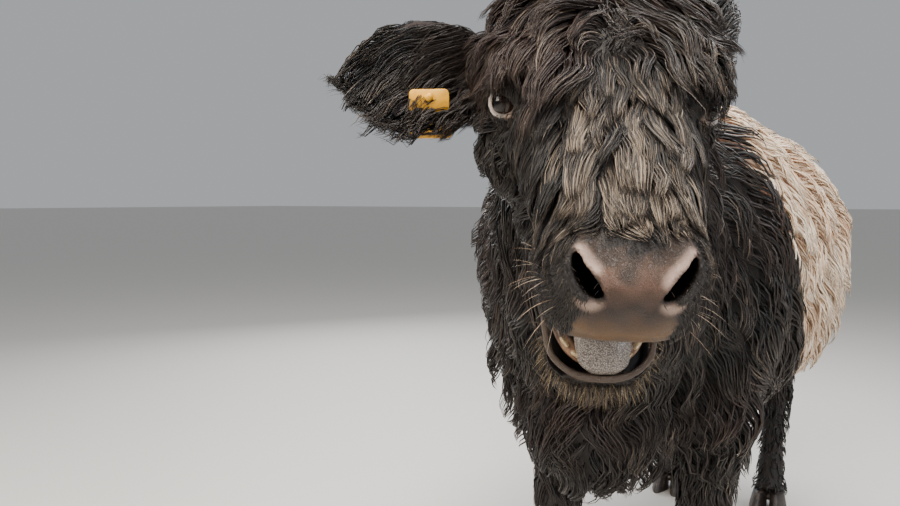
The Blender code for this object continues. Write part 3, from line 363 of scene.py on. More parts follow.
hindLeg = [
    (0.150, 0.50, 0.800, 0.095, 0.190, 0.180),
    (0.152, 0.49, 0.640, 0.080, 0.150, 0.140),
    (0.154, 0.53, 0.520, 0.055, 0.100, 0.090),
    (0.155, 0.60, 0.430, 0.042, 0.070, 0.065),
    (0.155, 0.62, 0.380, 0.042, 0.056, 0.058),
    (0.155, 0.61, 0.310, 0.035, 0.045, 0.045),
    (0.155, 0.59, 0.200, 0.031, 0.037, 0.037),
    (0.155, 0.575, 0.120, 0.038, 0.042, 0.042),
    (0.155, 0.555, 0.085, 0.037, 0.042, 0.042),
    (0.155, 0.540, 0.055, 0.043, 0.050, 0.048),
]
tailStations = [
    (0.0, 0.735, 1.040, 0.034, 0.034, 0.034),
    (0.0, 0.800, 1.000, 0.030, 0.030, 0.030),
    (0.004, 0.826, 0.900, 0.025, 0.025, 0.025),
    (0.006, 0.824, 0.760, 0.019, 0.019, 0.019),
    (0.008, 0.815, 0.620, 0.015, 0.015, 0.015),
    (0.010, 0.806, 0.480, 0.013, 0.013, 0.013),
    (0.012, 0.804, 0.400, 0.008, 0.008, 0.008),
]
bodySkin = {"voxel": 0.0098, "smoothing": 5}


def mirrored(stations, side):
    return [(side * x, y, z, w, front, back) for x, y, z, w, front, back in stations]


def lowered(stations):
    return [
        (x, y, z * withersScale, half, top * withersScale, bottom * withersScale)
        for x, y, z, half, top, bottom in stations
    ]


bodyMesh = bmesh.new()
addLoft(bodyMesh, lowered(trunkStations), 48, 40)
addLoft(bodyMesh, lowered(neckStations), 32, 36, power=0.95)
for side in (-1, 1):
    addBlob(bodyMesh, (side * 0.150, -0.42, 0.80), (0.125, 0.17, 0.31), (-14, 0, 0))
    addBlob(bodyMesh, (side * 0.150, 0.50, 0.80), (0.135, 0.23, 0.29), (16, 0, 0))
    addLoft(bodyMesh, mirrored(foreLeg, side), 48, 28, power=0.95, upright=(0, 1, 0))
    addLoft(bodyMesh, mirrored(hindLeg, side), 48, 28, power=0.95, upright=(0, 1, 0))
    for stations in (foreLeg, hindLeg):
        for across in (-1, 1):
            x, y, back = stations[-3][0], stations[-3][1], stations[-3][5]
            place = (side * x + across * 0.020, y + back + 0.004, 0.100)
            addBlob(bodyMesh, place, (0.011, 0.013, 0.018), (-25, 0, 0))  # a dewclaw
    for y in (0.325, 0.425):
        addBlob(bodyMesh, (side * 0.048, y, 0.446), (0.0125, 0.0125, 0.038))
addBlob(bodyMesh, (0.005, -0.60, 0.60), (0.13, 0.16, 0.16), (-20, 0, 0))
addBlob(bodyMesh, (0, 0.375, 0.525), (0.10, 0.13, 0.085))
addLoft(bodyMesh, tailStations, 40, 20, power=1.0, upright=(0, 1, 0.3))
body = meshObject("bodySkin", bodyMesh)
fuse(body, bodySkin["voxel"], bodySkin["smoothing"])
print("body skin:", len(body.data.polygons), "faces")

# the skin of the head, made in its own axes: +X to the nose, +Y to its left, +Z out of the brow

skullStations = [
    # along the face, half width, top, bottom
    (-0.195, 0.045, 0.035, -0.050),
    (-0.165, 0.092, 0.066, -0.100),
    (-0.110, 0.112, 0.078, -0.120),
    (-0.050, 0.119, 0.075, -0.120),
    (0.000, 0.113, 0.068, -0.110),
    (0.050, 0.096, 0.062, -0.095),
    (0.100, 0.083, 0.056, -0.080),
    (0.150, 0.074, 0.051, -0.066),
    (0.190, 0.066, 0.047, -0.061),
    (0.225, 0.066, 0.043, -0.060),
    (0.252, 0.063, 0.034, -0.058),
    (0.270, 0.054, 0.018, -0.055),
    (0.277, 0.038, 0.002, -0.046),
]
muzzleStations = [
    # the blunt block of the muzzle: place, half width, height above and below
    (0.165, 0, -0.022, 0.064, 0.066, 0.038),
    (0.200, 0, -0.022, 0.068, 0.065, 0.044),
    (0.232, 0, -0.022, 0.0695, 0.059, 0.046),
    (0.256, 0, -0.022, 0.0640, 0.050, 0.044),
    (0.272, 0, -0.022, 0.0560, 0.038, 0.0425),
    (0.282, 0, -0.022, 0.0460, 0.028, 0.0400),
    (0.2870, 0, -0.022, 0.0320, 0.018, 0.0300),
]
lowerPad = [
    # the lower half of the muzzle's front, from side to side: place, half depth, height above and below
    (0.252, -0.060, -0.026, 0.012, 0.024, 0.032),
    (0.2615, -0.040, -0.026, 0.0225, 0.028, 0.0370),
    (0.2660, 0.000, -0.026, 0.0235, 0.030, 0.0380),
    (0.2615, 0.040, -0.026, 0.0225, 0.028, 0.0370),
    (0.252, 0.060, -0.026, 0.012, 0.024, 0.032),
]
jawStations = [
    (-0.085, 0.060, -0.060, -0.130),
    (-0.040, 0.084, -0.066, -0.168),
    (0.030, 0.076, -0.080, -0.160),
    (0.090, 0.060, -0.080, -0.142),
    (0.140, 0.054, -0.080, -0.124),
    (0.188, 0.056, -0.079, -0.112),
    (0.230, 0.059, -0.079, -0.107),
    (0.260, 0.052, -0.079, -0.102),
    (0.276, 0.032, -0.081, -0.093),
]
headSkin = {"voxel": 0.0026, "smoothing": 4, "cutVoxel": 0.0025, "cutSmoothing": 2}
eyeSize = {
    "halfSpan": 0.1085,
    "forward": 0.006,
    "radius": 0.0185,
    "lid": 0.0040,
    "opening": (0.0182, 0.024, 0.0120),
    "folds": ((0.0155, 0.002, 0.0022), (0.0215, 0.004, 0.0018)),  # height over the eye, how far in, radius
}
eyeLook = Vector((0.60, 0.74, 0.30)).normalized()  # where the left eye's opening faces
eyeCentres = {side: (eyeSize["forward"], side * eyeSize["halfSpan"], 0.0) for side in (-1, 1)}
eyeLooks = {side: Vector((eyeLook.x, side * eyeLook.y, eyeLook.z)) for side in (-1, 1)}
nostril = {
    # from its upper outer end to its lower inner end, on the left side: place and half width
    "course": [
        (0.2615, 0.0520, 0.0265, 0.0045), (0.2680, 0.0490, 0.0195, 0.0066), (0.2755, 0.0430, 0.0130, 0.0082),
        (0.2830, 0.0368, 0.0078, 0.0082), (0.2865, 0.0325, 0.0040, 0.0056),
    ],
    "inward": {side: Vector((-0.90, side * -0.28, -0.22)).normalized() for side in (-1, 1)},
    "depth": 0.040,
    "wing": 0.0054,
    "fold": 0.0046,
    "gap": 0.0030,
    "voxel": 0.0020,
}
padShape = {
    # half width of the bare nose pad at each height above the middle of the face
    "heights": (-0.064, -0.030, -0.018, -0.008, 0.002, 0.010, 0.018, 0.026, 0.034),
    "halfWidths": (0.0455, 0.0450, 0.0400, 0.0290, 0.0250, 0.0275, 0.0330, 0.0420, 0.0500),
    "top": 0.0330,
    "topRise": 2.4,  # how it rises towards the nostrils, per metre squared
}


def headRows(stations):
    return [
        (x, 0, (top + bottom) / 2, half, (top - bottom) / 2, (top - bottom) / 2)
        for x, half, top, bottom in stations
    ]


def addTube(bm, points, radius, rings, sides, matrix=None):
    rows = [(*point, radius, radius, radius) for point in points]
    addLoft(bm, rows, rings, sides, power=1.0, matrix=matrix)


def bothWays(curve):
    # a curve from the left side to the middle, and on to the right side
    return curve + [(x, -y, z) for x, y, z in curve[-2::-1]]


lipCurve = bothWays([
    # the rim of the lower lip, in the jaw's place before it opens
    (0.060, 0.060, -0.070), (0.110, 0.058, -0.072), (0.165, 0.058, -0.073), (0.215, 0.061, -0.073),
    (0.250, 0.053, -0.073), (0.268, 0.032, -0.073), (0.274, 0.000, -0.073),
])
upperLip = bothWays([
    # the straight edge of the upper lip under the pad, with its corners hanging at the sides
    (0.150, 0.062, -0.064), (0.200, 0.066, -0.068), (0.238, 0.064, -0.071), (0.262, 0.052, -0.069),
    (0.2755, 0.034, -0.0590), (0.279, 0.000, -0.0562),
])
headMesh = bmesh.new()
addLoft(headMesh, headRows(skullStations), 60, 44, power=0.88)
addBlob(headMesh, (-0.160, 0, 0.048), (0.050, 0.075, 0.048))
addBlob(headMesh, (0.251, 0, -0.010), (0.0385, 0.050, 0.046), (0, -14, 0))
addLoft(headMesh, muzzleStations, 40, 44, power=0.72)
addLoft(headMesh, lowerPad, 40, 32, power=0.75)
addLoft(headMesh, headRows(jawStations), 48, 36, power=0.85, matrix=jawInHead)
addBlob(headMesh, (0.240, 0, -0.096), (0.034, 0.043, 0.022), matrix=jawInHead)
addTube(headMesh, lipCurve, 0.0046, 80, 14, matrix=jawInHead)
addTube(headMesh, upperLip, 0.0078, 80, 14)
for side in (-1, 1):
    addBlob(headMesh, (-0.016, side * 0.092, 0.027), (0.046, 0.030, 0.018))
    addBlob(headMesh, (-0.008, side * 0.096, -0.002), (0.036, 0.027, 0.030))
    addBlob(headMesh, (-0.030, side * 0.084, -0.070), (0.080, 0.042, 0.062))
    addBlob(headMesh, (0.244, side * 0.047, 0.004), (0.030, 0.022, 0.034), (side * 18, 0, 0))
    addBlob(headMesh, (0.224, side * 0.049, -0.045), (0.050, 0.0255, 0.030))
    addBlob(headMesh, (0.250, side * 0.0475, -0.051), (0.027, 0.0245, 0.0265))
    addBlob(headMesh, (-0.090, side * 0.112, -0.018), (0.030, 0.032, 0.032))
    rim = eyeSize["radius"] + eyeSize["lid"]
    addBlob(headMesh, eyeCentres[side], (rim * 1.12, rim, rim))
    addBlob(headMesh, (-0.035, side * 0.066, -0.120), (0.060, 0.030, 0.045), matrix=jawInHead)
    cheek = (0.055, side * 0.060, -0.074)
    addBlob(headMesh, cheek, (0.085, 0.018, 0.040), (0, 0, -side * 8), matrix=jawInHead)
    course = [Vector((x, side * y, z)) for x, y, z, _ in nostril["course"]]
    radii = [row[3] for row in nostril["course"]]
    across = Vector((0.25, side * 0.70, -0.66)).normalized()
    outer = [p + across * (r + nostril["gap"]) - Vector((0.005, 0, 0)) for p, r in zip(course, radii)]
    inner = [p - across * (r + nostril["gap"]) - Vector((0.004, 0, 0)) for p, r in zip(course, radii)]
    addTube(headMesh, outer, nostril["wing"], 24, 12)  # the soft wing outside the nostril
    addTube(headMesh, inner[:4], nostril["fold"], 20, 12)  # the pale fold inside it
    for lift, tuck, size in eyeSize["folds"]:
        fold = []  # two soft folds of skin over each eye
        for step in range(9):
            angle = math.radians(-62 + 15.5 * step)
            fold.append((
                0.012 + 0.036 * math.sin(angle),
                side * (eyeSize["halfSpan"] + rim - 0.006 - tuck),
                0.002 + lift * math.cos(angle),
            ))
        addTube(headMesh, fold, size, 24, 8)
head = meshObject("headSkin", headMesh)
fuse(head, headSkin["voxel"], headSkin["smoothing"])


def cutAway(obj, toolMesh, voxel=None):
    tool = meshObject("tool", toolMesh)
    if voxel:
        fuse(tool, voxel, 2)
    step = obj.modifiers.new("cut", "BOOLEAN")
    step.operation = "DIFFERENCE"
    step.solver = "EXACT"
    step.object = tool
    applyAll(obj)
    bpy.data.objects.remove(tool)


nostrilMesh = bmesh.new()
openingMesh = bmesh.new()
hollowMesh = bmesh.new()
for side in (-1, 1):
    inward = nostril["inward"][side]
    rows = smoothRows([(x, side * y, z, r) for x, y, z, r in nostril["course"]], 11)
    for x, y, z, r in rows:
        mouth = Vector((x, y, z))
        stations = [mouth - inward * 0.012, mouth, mouth + inward * 0.015, mouth + inward * nostril["depth"]]
        widths = (r * 1.25, r, r * 0.85, r * 0.55)
        addLoft(nostrilMesh, [(*p, w, w, w) for p, w in zip(stations, widths)], 10, 14, power=1.0)
    look = eyeLooks[side]
    centre = Vector(eyeCentres[side]) + look * 0.021
    yaw = math.degrees(math.atan2(-look.x, side * look.y)) * side
    addBlob(openingMesh, centre, eyeSize["opening"], (0, 0, yaw * side), segments=40, rings=24)
    addBlob(hollowMesh, (0.056, side * 0.124, 0.008), (0.034, 0.030, 0.030))  # the dip in front of the eye
cutAway(head, hollowMesh)
cutAway(head, nostrilMesh, nostril["voxel"])
cutAway(head, openingMesh)
fuse(head, headSkin["cutVoxel"], headSkin["cutSmoothing"])
print("head skin:", len(head.data.polygons), "faces")

# the ears, each a thin cupped leaf

earShape = {
    "length": 0.185,
    "halfHeight": 0.062,
    "root": (-0.087, 0.112, -0.023),
    "thickness": 0.0030,
    # along the ear: share of its length, share of its half height, depth of the cup
    "stations": [
        (-0.10, 0.40, 0.020), (0.06, 0.55, 0.024), (0.22, 0.80, 0.026), (0.40, 0.97, 0.024),
        (0.58, 1.00, 0.020), (0.76, 0.82, 0.014), (0.90, 0.50, 0.007), (1.00, 0.14, 0.001),
    ],
}


def earPose(side):
    x, y, z = earShape["root"]
    root = headMatrix @ Vector((x, side * y, z))
    if side < 0:
        axis, across = -leftWay + Vector((0, 0, -0.05)), Vector((0, 0, 1))
    else:
        axis, across = leftWay * 0.35 + Vector((-0.25, 0.60, 0.60)), Vector((0.3, -0.8, 0.6))
    axis = axis.normalized()
    across = (across - axis * across.dot(axis)).normalized()
    facing = across.cross(axis).normalized()
    if facing.y > 0 and side < 0:
        facing = -facing
    return root, axis, across, facing


def addEar(bm, side):
    root, axis, across, facing = earPose(side)
    rows = np.array(earShape["stations"])
    columns, rings = 18, []
    for along in np.linspace(rows[0, 0], rows[-1, 0], 40):
        wide, cup = np.interp(along, rows[:, 0], rows[:, 1]), np.interp(along, rows[:, 0], rows[:, 2])
        front, back = [], []
        for k in range(columns + 1):
            v = 2 * k / columns - 1
            spot = root + axis * earShape["length"] * along + across * earShape["halfHeight"] * wide * v
            thick = earShape["thickness"] * (1.0 - 0.6 * v * v) + 0.005 * max(0.0, 0.3 - along) * (1 - v * v)
            front.append(bm.verts.new(spot - facing * cup * (1 - v * v)))
            back.append(bm.verts.new(spot - facing * (cup * (1 - v * v) + 2 * thick)))
        rings.append(front + back[::-1])
    bridge(bm, rings)


earPoses = {side: earPose(side) for side in (-1, 1)}
earSkins = {}
for side, name in ((-1, "earSkinRight"), (1, "earSkinLeft")):
    earMesh = bmesh.new()
    addEar(earMesh, side)
    earSkins[side] = meshObject(name, earMesh)
print("ears made")

# colours of the coat and skin, marked on the skin's points

belt = {
    # where the white belt begins along the body at each height, and where it ends
    "heights": (0.50, 0.60, 0.70, 0.79, 0.88, 0.95, 1.05),
    "front": (-0.10, -0.12, -0.19, -0.27, -0.36, -0.44, -0.50),
    "rear": 0.30,
    "waver": 0.022,
    "fineWaver": 0.010,
}


def beltShare(points):
    # 1 inside the belt, 0 outside, for points where the solids were built
    waver = belt["waver"] * wobble(points, 0.16, 5) + belt["fineWaver"] * wobble(points, 0.045, 6)
    front = np.interp(points[:, 2], belt["heights"], belt["front"]) + waver
    rear = belt["rear"] + 0.03 * (points[:, 2] - 0.8) + waver
    return smoothStep(-0.006, 0.006, points[:, 1] - front) * smoothStep(-0.006, 0.006, rear - points[:, 1])


def gapTo(curve, points, count):
    # how far the points are from a curve, which is taken at this many places
    gap = np.full(len(points), 1e9)
    for row in smoothRows([(*p, 0.0) for p in curve], count)[:, :3]:
        gap = np.minimum(gap, np.linalg.norm(points - row, axis=1))
    return gap


def paintHead(points, normals):
    # marks for the head's points, in its own axes
    x, y, z = points.T
    half = np.interp(z, padShape["heights"], padShape["halfWidths"])
    top = padShape["top"] + padShape["topRise"] * y * y + 0.002 * wobble(points, 0.012, 21)
    edge = 0.0016 * wobble(points, 0.011, 22)
    front = smoothStep(0.228, 0.240, x) * smoothStep(-0.75, -0.25, normals[:, 0])
    pad = front * (1 - smoothStep(-0.002, 0.002, np.abs(y) + edge - half))
    pad *= (1 - smoothStep(-0.003, 0.003, z - top)) * smoothStep(-0.0665, -0.0635, z)
    pale = np.zeros(len(points))
    ochre = np.clip((0.030 - z + 0.004 * wobble(points, 0.02, 23)) / 0.092, 0, 1)
    for side in (-1, 1):
        upper = [(0.258, 0.0500, 0.0330), (0.264, 0.0440, 0.0285), (0.270, 0.0370, 0.0240)]
        if side > 0:
            upper.append((0.277, 0.0290, 0.0185))
        lower = [(0.280, 0.0430, -0.0085), (0.284, 0.0370, -0.0095), (0.286, 0.0315, -0.0060)]
        for curve, strength, reach in ((upper, 0.80, 0.0115), (lower, 0.55, 0.0100)):
            gap = gapTo([(a, side * b, c) for a, b, c in curve], points, 24)
            pale = np.maximum(pale, strength * (1.0 - smoothStep(0.10 * reach, reach, gap)))
    # the inside of each nostril, painted near black as the shade in its hollow
    inside = np.zeros(len(points))
    for side in (-1, 1):
        inward = np.array(nostril["inward"][side])
        for cx, cy, cz, r in smoothRows([(a, side * b, c, d) for a, b, c, d in nostril["course"]], 9):
            away = points - np.array((cx, cy, cz))
            depth = away @ inward
            flat = np.linalg.norm(away - depth[:, None] * inward, axis=1)
            inside = np.maximum(inside, smoothStep(0.0015, 0.008, depth) * (flat < r * 1.5))
    jawPoints = transformed(points, jawInHead.inverted())
    jx, jy, jz = jawPoints.T
    lip = (1 - smoothStep(0.0085, 0.0115, gapTo(lipCurve, jawPoints, 90))) * smoothStep(0.12, 0.16, jx)
    # the floor and roof of the open mouth, also painted near black as the shade behind the lips
    mouth = smoothStep(0.03, 0.06, x) * (1 - smoothStep(-0.078, -0.073, jz)) * (jz > -0.100)
    jawUp = np.array(jawInHead.to_3x3() @ Vector((0, 0, 1)))
    mouth *= (np.abs(jy) < 0.058) * (jx < 0.268) * (normals @ jawUp > 0.2)
    under = 1 - smoothStep(-0.75, -0.45, normals[:, 2])
    palate = under * (z > -0.10) * (z < -0.045) * (np.abs(y) < 0.062) * (x > 0.06)
    lids = np.zeros(len(points))
    tan = np.zeros(len(points))
    for side in (-1, 1):
        eye = np.array(eyeCentres[side])
        away = points - eye
        distance = np.linalg.norm(away, axis=1)
        look = np.array(eyeLooks[side])
        facing = away @ look
        flat = np.linalg.norm((away - facing[:, None] * look) / np.array((0.021, 0.021, 0.0135)), axis=1)
        low = 1 - smoothStep(-0.006, 0.004, away[:, 2] + 0.25 * away[:, 0])
        rim = (1 - smoothStep(0.95, 1.06, flat)) * (distance < 0.030) * (facing > 0)
        lids = np.maximum(lids, rim * (0.15 + 0.85 * low))
        # a tan tear stain at the inner corner of the eye
        corner = eye + np.array((0.027, 0, 0))
        tan = np.maximum(tan, 0.75 - 0.75 * smoothStep(0.003, 0.011, np.linalg.norm(points - corner, axis=1)))
        # a painted highlight, where light falls on the bare brow above the eye
        brow = eye + np.array((-0.004, side * 0.016, 0.024))
        tan = np.maximum(tan, 0.8 * (1 - smoothStep(0.008, 0.020, np.linalg.norm(points - brow, axis=1))))
    pad = np.clip(pad * (1 - inside), 0, 1)
    return {
        "pad": pad,
        "pale": pale * (1 - inside) * front,
        "ochre": ochre,
        "inside": np.clip(inside + palate + mouth * (1 - lip), 0, 1),
        "lip": lip,
        "lid": lids,
        "tan": tan,
        "bare": np.clip(pad + inside + lip + mouth + palate + lids, 0, 1),
    }


markNames = ("pad", "pale", "ochre", "inside", "lip", "lid", "tan", "bare", "belt", "ear")


def setMarks(obj, marks):
    for name in markNames:
        setLayer(obj, name, marks.get(name, np.zeros(len(obj.data.vertices))))


setMarks(head, paintHead(cornersOf(head), cornersOf(head, "normal")))
head.data.transform(headMatrix)
setMarks(body, {"belt": beltShare(cornersOf(body))})
for ear in earSkins.values():
    setMarks(ear, {"ear": np.ones(len(ear.data.vertices))})
print("skin marked")

# finishes of the skin

millimetre = 0.001
skinFinish = {
    "underBlack": "#171311",
    "underWhite": "#b98f7c",
    "padUpper": "#75594a",
    "padMiddle": "#33231a",
    "padLower": "#6f4d16",
    "padPale": "#c2a595",
    # painted shade: near black inside the nostrils and the mouth
    "inside": "#070404",
    "lip": "#4a3d33",
    "lid": "#b5a79d",
    # a tan tear stain at each eye's inner corner, and a painted highlight on the brow above it
    "tan": "#9c8370",
    "earInside": "#2c2220",
    "grainSize": 1.15,  # the pad's small bumps, in millimetres
    "hairPitch": 1.6,  # spacing of the short flat hairs on the face, in millimetres
    "blotchSize": 14,
    "speckle": 0.60,  # how strongly the grain shades the pad
    "hairCover": 0.7,  # share of the skin's colour that comes from short hair
    "padBump": 0.9,
    "hairBump": 0.6,
    "bumpHeight": 0.0012,
}
# cattle skin, bare and moist on the nose pad and lips, which shines softly over fine bumps;
# elsewhere it carries short flat hair, which breaks up the light
# its colour also holds painted shade inside the nostrils and mouth, and a painted highlight on each brow
cowSkin, skinTree, skinShader = newMaterial("cattleSkinNosePadAndShortHair", 0.5, 1.42)
skinPlace = addNode(skinTree, "TexCoord", out="Object")
mark = {name: addNode(skinTree, "Attribute", {"attribute_name": name}, out="Fac") for name in markNames}
grainScale = 1 / (skinFinish["grainSize"] * millimetre)
hairScale = 1 / (skinFinish["hairPitch"] * millimetre)
grain = addNode(skinTree, "TexVoronoi", {"Scale": grainScale}, {"Vector": skinPlace})
grainEdge = addNode(
    skinTree, "TexVoronoi", {"feature": "DISTANCE_TO_EDGE", "Scale": grainScale}, {"Vector": skinPlace},
)
blotchScale = 1 / (skinFinish["blotchSize"] * millimetre)
blotch = addNode(skinTree, "TexNoise", {"Scale": blotchScale, "Detail": 4.0}, {"Vector": skinPlace})
shortHair = addNode(skinTree, "TexNoise", {"Scale": hairScale, "Detail": 3.0}, {"Vector": skinPlace})
swing = addNode(skinTree, "Math", {"operation": "SUBTRACT", 1: 0.5}, {0: blotch})
padBand = addNode(
    skinTree, "Math", {"operation": "MULTIPLY_ADD", "use_clamp": True, 1: 0.18}, {0: swing, 2: mark["ochre"]},
)
padColour = addNode(skinTree, "ValToRGB", links={0: padBand}, stops=[
    (0.0, "#463b34"), (0.12, skinFinish["padUpper"]), (0.28, "#553c2d"), (0.42, skinFinish["padMiddle"]),
    (0.56, "#402a16"), (0.70, "#5a3d16"), (0.86, skinFinish["padLower"]), (1.0, "#553b14"),
])
speckle = addNode(
    skinTree, "ValToRGB", links={0: grain}, stops=[(0.0, "#fff6ea"), (0.30, "#cfc2b4"), (0.70, "#85766a")],
)
specked = addNode(
    skinTree, "Mix", {"data_type": "RGBA", "blend_type": "MULTIPLY", 0: skinFinish["speckle"]},
    {6: padColour, 7: speckle}, out=2,
)
underCoat = addNode(
    skinTree, "Mix", {"data_type": "RGBA", 6: skinFinish["underBlack"], 7: skinFinish["underWhite"]},
    {0: mark["belt"]}, out=2,
)
hairTint = addNode(skinTree, "ValToRGB", links={0: shortHair}, stops=[
    (0.35, "#0e0b0a"), (0.62, "#2b2521"), (0.75, "#57504a"),
])
notBelt = addNode(skinTree, "Math", {"operation": "SUBTRACT", 0: 1.0}, {1: mark["belt"]})
hairShare = addNode(skinTree, "Math", {"operation": "MULTIPLY", 1: skinFinish["hairCover"]}, {0: notBelt})
colour = addNode(skinTree, "Mix", {"data_type": "RGBA"}, {0: hairShare, 6: underCoat, 7: hairTint}, out=2)
paleNoise = addNode(skinTree, "Math", {"operation": "ADD", 1: 0.45}, {0: blotch})
mark["pale"] = addNode(
    skinTree, "Math", {"operation": "MULTIPLY", "use_clamp": True}, {0: mark["pale"], 1: paleNoise},
)
# over the coat's colour go the tear stain with its painted brow highlight, the ear, the pad and its pale
# marks, the lip, the lids, and last the painted shade inside the nostrils and mouth
for name, tone in (
    ("tan", "tan"), ("ear", "earInside"), ("pad", None), ("pale", "padPale"), ("lip", "lip"), ("lid", "lid"),
    ("inside", "inside"),
):
    links = {0: mark[name], 6: colour}
    settings = {"data_type": "RGBA"}
    if tone:
        settings[7] = skinFinish[tone]
    else:
        links[7] = specked
    colour = addNode(skinTree, "Mix", settings, links, out=2)
skinTree.links.new(colour, skinShader.inputs["Base Color"])
# almost no reflection where the nostrils and mouth are painted as shade
for socket, name, hairy, bare in (
    ("Roughness", "bare", 0.62, 0.34), ("Specular IOR Level", "inside", 0.5, 0.05),
):
    value = addNode(skinTree, "MapRange", {3: hairy, 4: bare}, {0: mark[name]})
    skinTree.links.new(value, skinShader.inputs[socket])
grainy = addNode(skinTree, "Math", {"operation": "MAXIMUM"}, {0: mark["pad"], 1: mark["lip"]})
padHeight = addNode(skinTree, "Math", {"operation": "MULTIPLY"}, {0: grainEdge, 1: grainy})
notBare = addNode(skinTree, "Math", {"operation": "SUBTRACT", 0: 1.0}, {1: mark["bare"]})
hairHeight = addNode(skinTree, "Math", {"operation": "MULTIPLY"}, {0: shortHair, 1: notBare})
padBump = addNode(
    skinTree, "Bump", {"Strength": skinFinish["padBump"], "Distance": skinFinish["bumpHeight"]},
    {"Height": padHeight},
)
skinBump = addNode(
    skinTree, "Bump", {"Strength": skinFinish["hairBump"], "Distance": skinFinish["bumpHeight"]},
    {"Height": hairHeight, "Normal": padBump},
)
skinTree.links.new(skinBump, skinShader.inputs["Normal"])

# the trees that hair grows on, then one skin over the whole body


def surfaceOf(obj):
    # triangles of a piece as arrays: corners, normals and marks at each corner
    mesh = obj.data
    grid = bmesh.new()
    grid.from_mesh(mesh)
    tree = BVHTree.FromBMesh(grid)
    grid.free()
    mesh.calc_loop_triangles()
    faces = np.empty(len(mesh.loop_triangles) * 3, np.int32)
    mesh.loop_triangles.foreach_get("vertices", faces)
    marks = {}
    for name in markNames:
        values = np.empty(len(mesh.vertices), np.float32)
        mesh.attributes[name].data.foreach_get("value", values)
        marks[name] = values
    return {
        "corners": cornersOf(obj),
        "normals": cornersOf(obj, "normal"),
        "faces": faces.reshape(-1, 3),
        "marks": marks,
        "tree": tree,
    }


skinPieces = {"body": body, "head": head, "earRight": earSkins[-1], "earLeft": earSkins[1]}
grounds = {name: surfaceOf(piece) for name, piece in skinPieces.items()}
bothSides = ("left", "right")
fleshNodes = ["head", "muzzle", "lower_jaw", "neck", "torso_shoulders", "torso_belt", "torso_rump", "udder"]
fleshNodes += ["tail", "tail_switch"] + [f"ear_{side}" for side in bothSides]
for leg in ("foreleg", "hindleg"):
    fleshNodes += [f"{leg}_{part}_{side}" for part in ("upper", "lower") for side in bothSides]
whole = bmesh.new()
for piece in skinPieces.values():
    whole.from_mesh(piece.data)
    bpy.data.objects.remove(piece)
skinMesh = bpy.data.meshes.new("skin")
whole.to_mesh(skinMesh)
whole.free()
finishPiece(addObject("skin", skinMesh), cowSkin, fleshNodes)
print("skin joined:", len(skinMesh.polygons), "faces")

# eyes, tongue, teeth, hooves and the ear tag

# a wet eye: the clear cornea gives sharp reflections over a dark brown iris with a level oval pupil
eyeFinish = {
    "white": "#2a1b14",
    "pupil": "#020203",
    "iris": [(0.3, "#0a0503"), (0.7, "#22130a")],
    "irisEdge": (0.0115, 0.0135),
    "pupilEdge": (0.0042, 0.0056),
    "pupilStretch": 1.5,
    "corneaFrom": 0.80,  # share of the radius along the look where the bulge begins
    "corneaRise": 0.006,
    "streakScale": 300.0,
}
eyeGloss, eyeTree, eyeShader = newMaterial("wetEye", 0.05, 1.34, Coat_Weight=0.15, Coat_Roughness=0.02)
for side, node in ((-1, "eye_right"), (1, "eye_left")):
    eyeMesh = bmesh.new()
    centre = Vector(eyeCentres[side])
    look = eyeLooks[side]
    turn = look.to_track_quat("Z", "X").to_matrix().to_4x4()
    bmesh.ops.create_uvsphere(eyeMesh, u_segments=48, v_segments=32, radius=eyeSize["radius"])
    for corner in eyeMesh.verts:
        rise = max(0.0, corner.co.z / eyeSize["radius"] - eyeFinish["corneaFrom"])
        corner.co += corner.co.normalized() * eyeFinish["corneaRise"] * rise
    eyeMesh.transform(headMatrix @ Matrix.Translation(centre) @ turn)
    eye = meshObject(node.replace("_", "") + "Ball", eyeMesh)
    away = transformed(cornersOf(eye), (headMatrix @ Matrix.Translation(centre)).inverted())
    ahead = away @ np.array(look)
    level = np.array(Vector((1, 0, 0)) - look * look.x)
    level = level / np.linalg.norm(level)
    along = away @ level
    above = np.linalg.norm(away - ahead[:, None] * np.array(look) - along[:, None] * level, axis=1)
    reach = np.where(ahead > 0, np.sqrt(along**2 + above**2), 0.05)
    pupil = np.where(ahead > 0, np.sqrt((along / eyeFinish["pupilStretch"]) ** 2 + above**2), 0.05)
    setLayer(eye, "iris", 1 - smoothStep(*eyeFinish["irisEdge"], reach))
    setLayer(eye, "pupil", 1 - smoothStep(*eyeFinish["pupilEdge"], pupil))
    finishPiece(eye, eyeGloss, [node])
eyePlace = addNode(eyeTree, "TexCoord", out="Object")
streakScale = eyeFinish["streakScale"]
streak = addNode(eyeTree, "TexNoise", {"Scale": streakScale, "Detail": 3.0}, {"Vector": eyePlace})
irisColour = addNode(eyeTree, "ValToRGB", links={0: streak}, stops=eyeFinish["iris"])
irisShare, pupilShare = (
    addNode(eyeTree, "Attribute", {"attribute_name": name}, out="Fac") for name in ("iris", "pupil")
)
eyeColour = addNode(
    eyeTree, "Mix", {"data_type": "RGBA", 6: eyeFinish["white"]}, {0: irisShare, 7: irisColour}, out=2,
)
eyeColour = addNode(
    eyeTree, "Mix", {"data_type": "RGBA", 7: eyeFinish["pupil"]}, {0: pupilShare, 6: eyeColour}, out=2,
)
eyeTree.links.new(eyeColour, eyeShader.inputs["Base Color"])

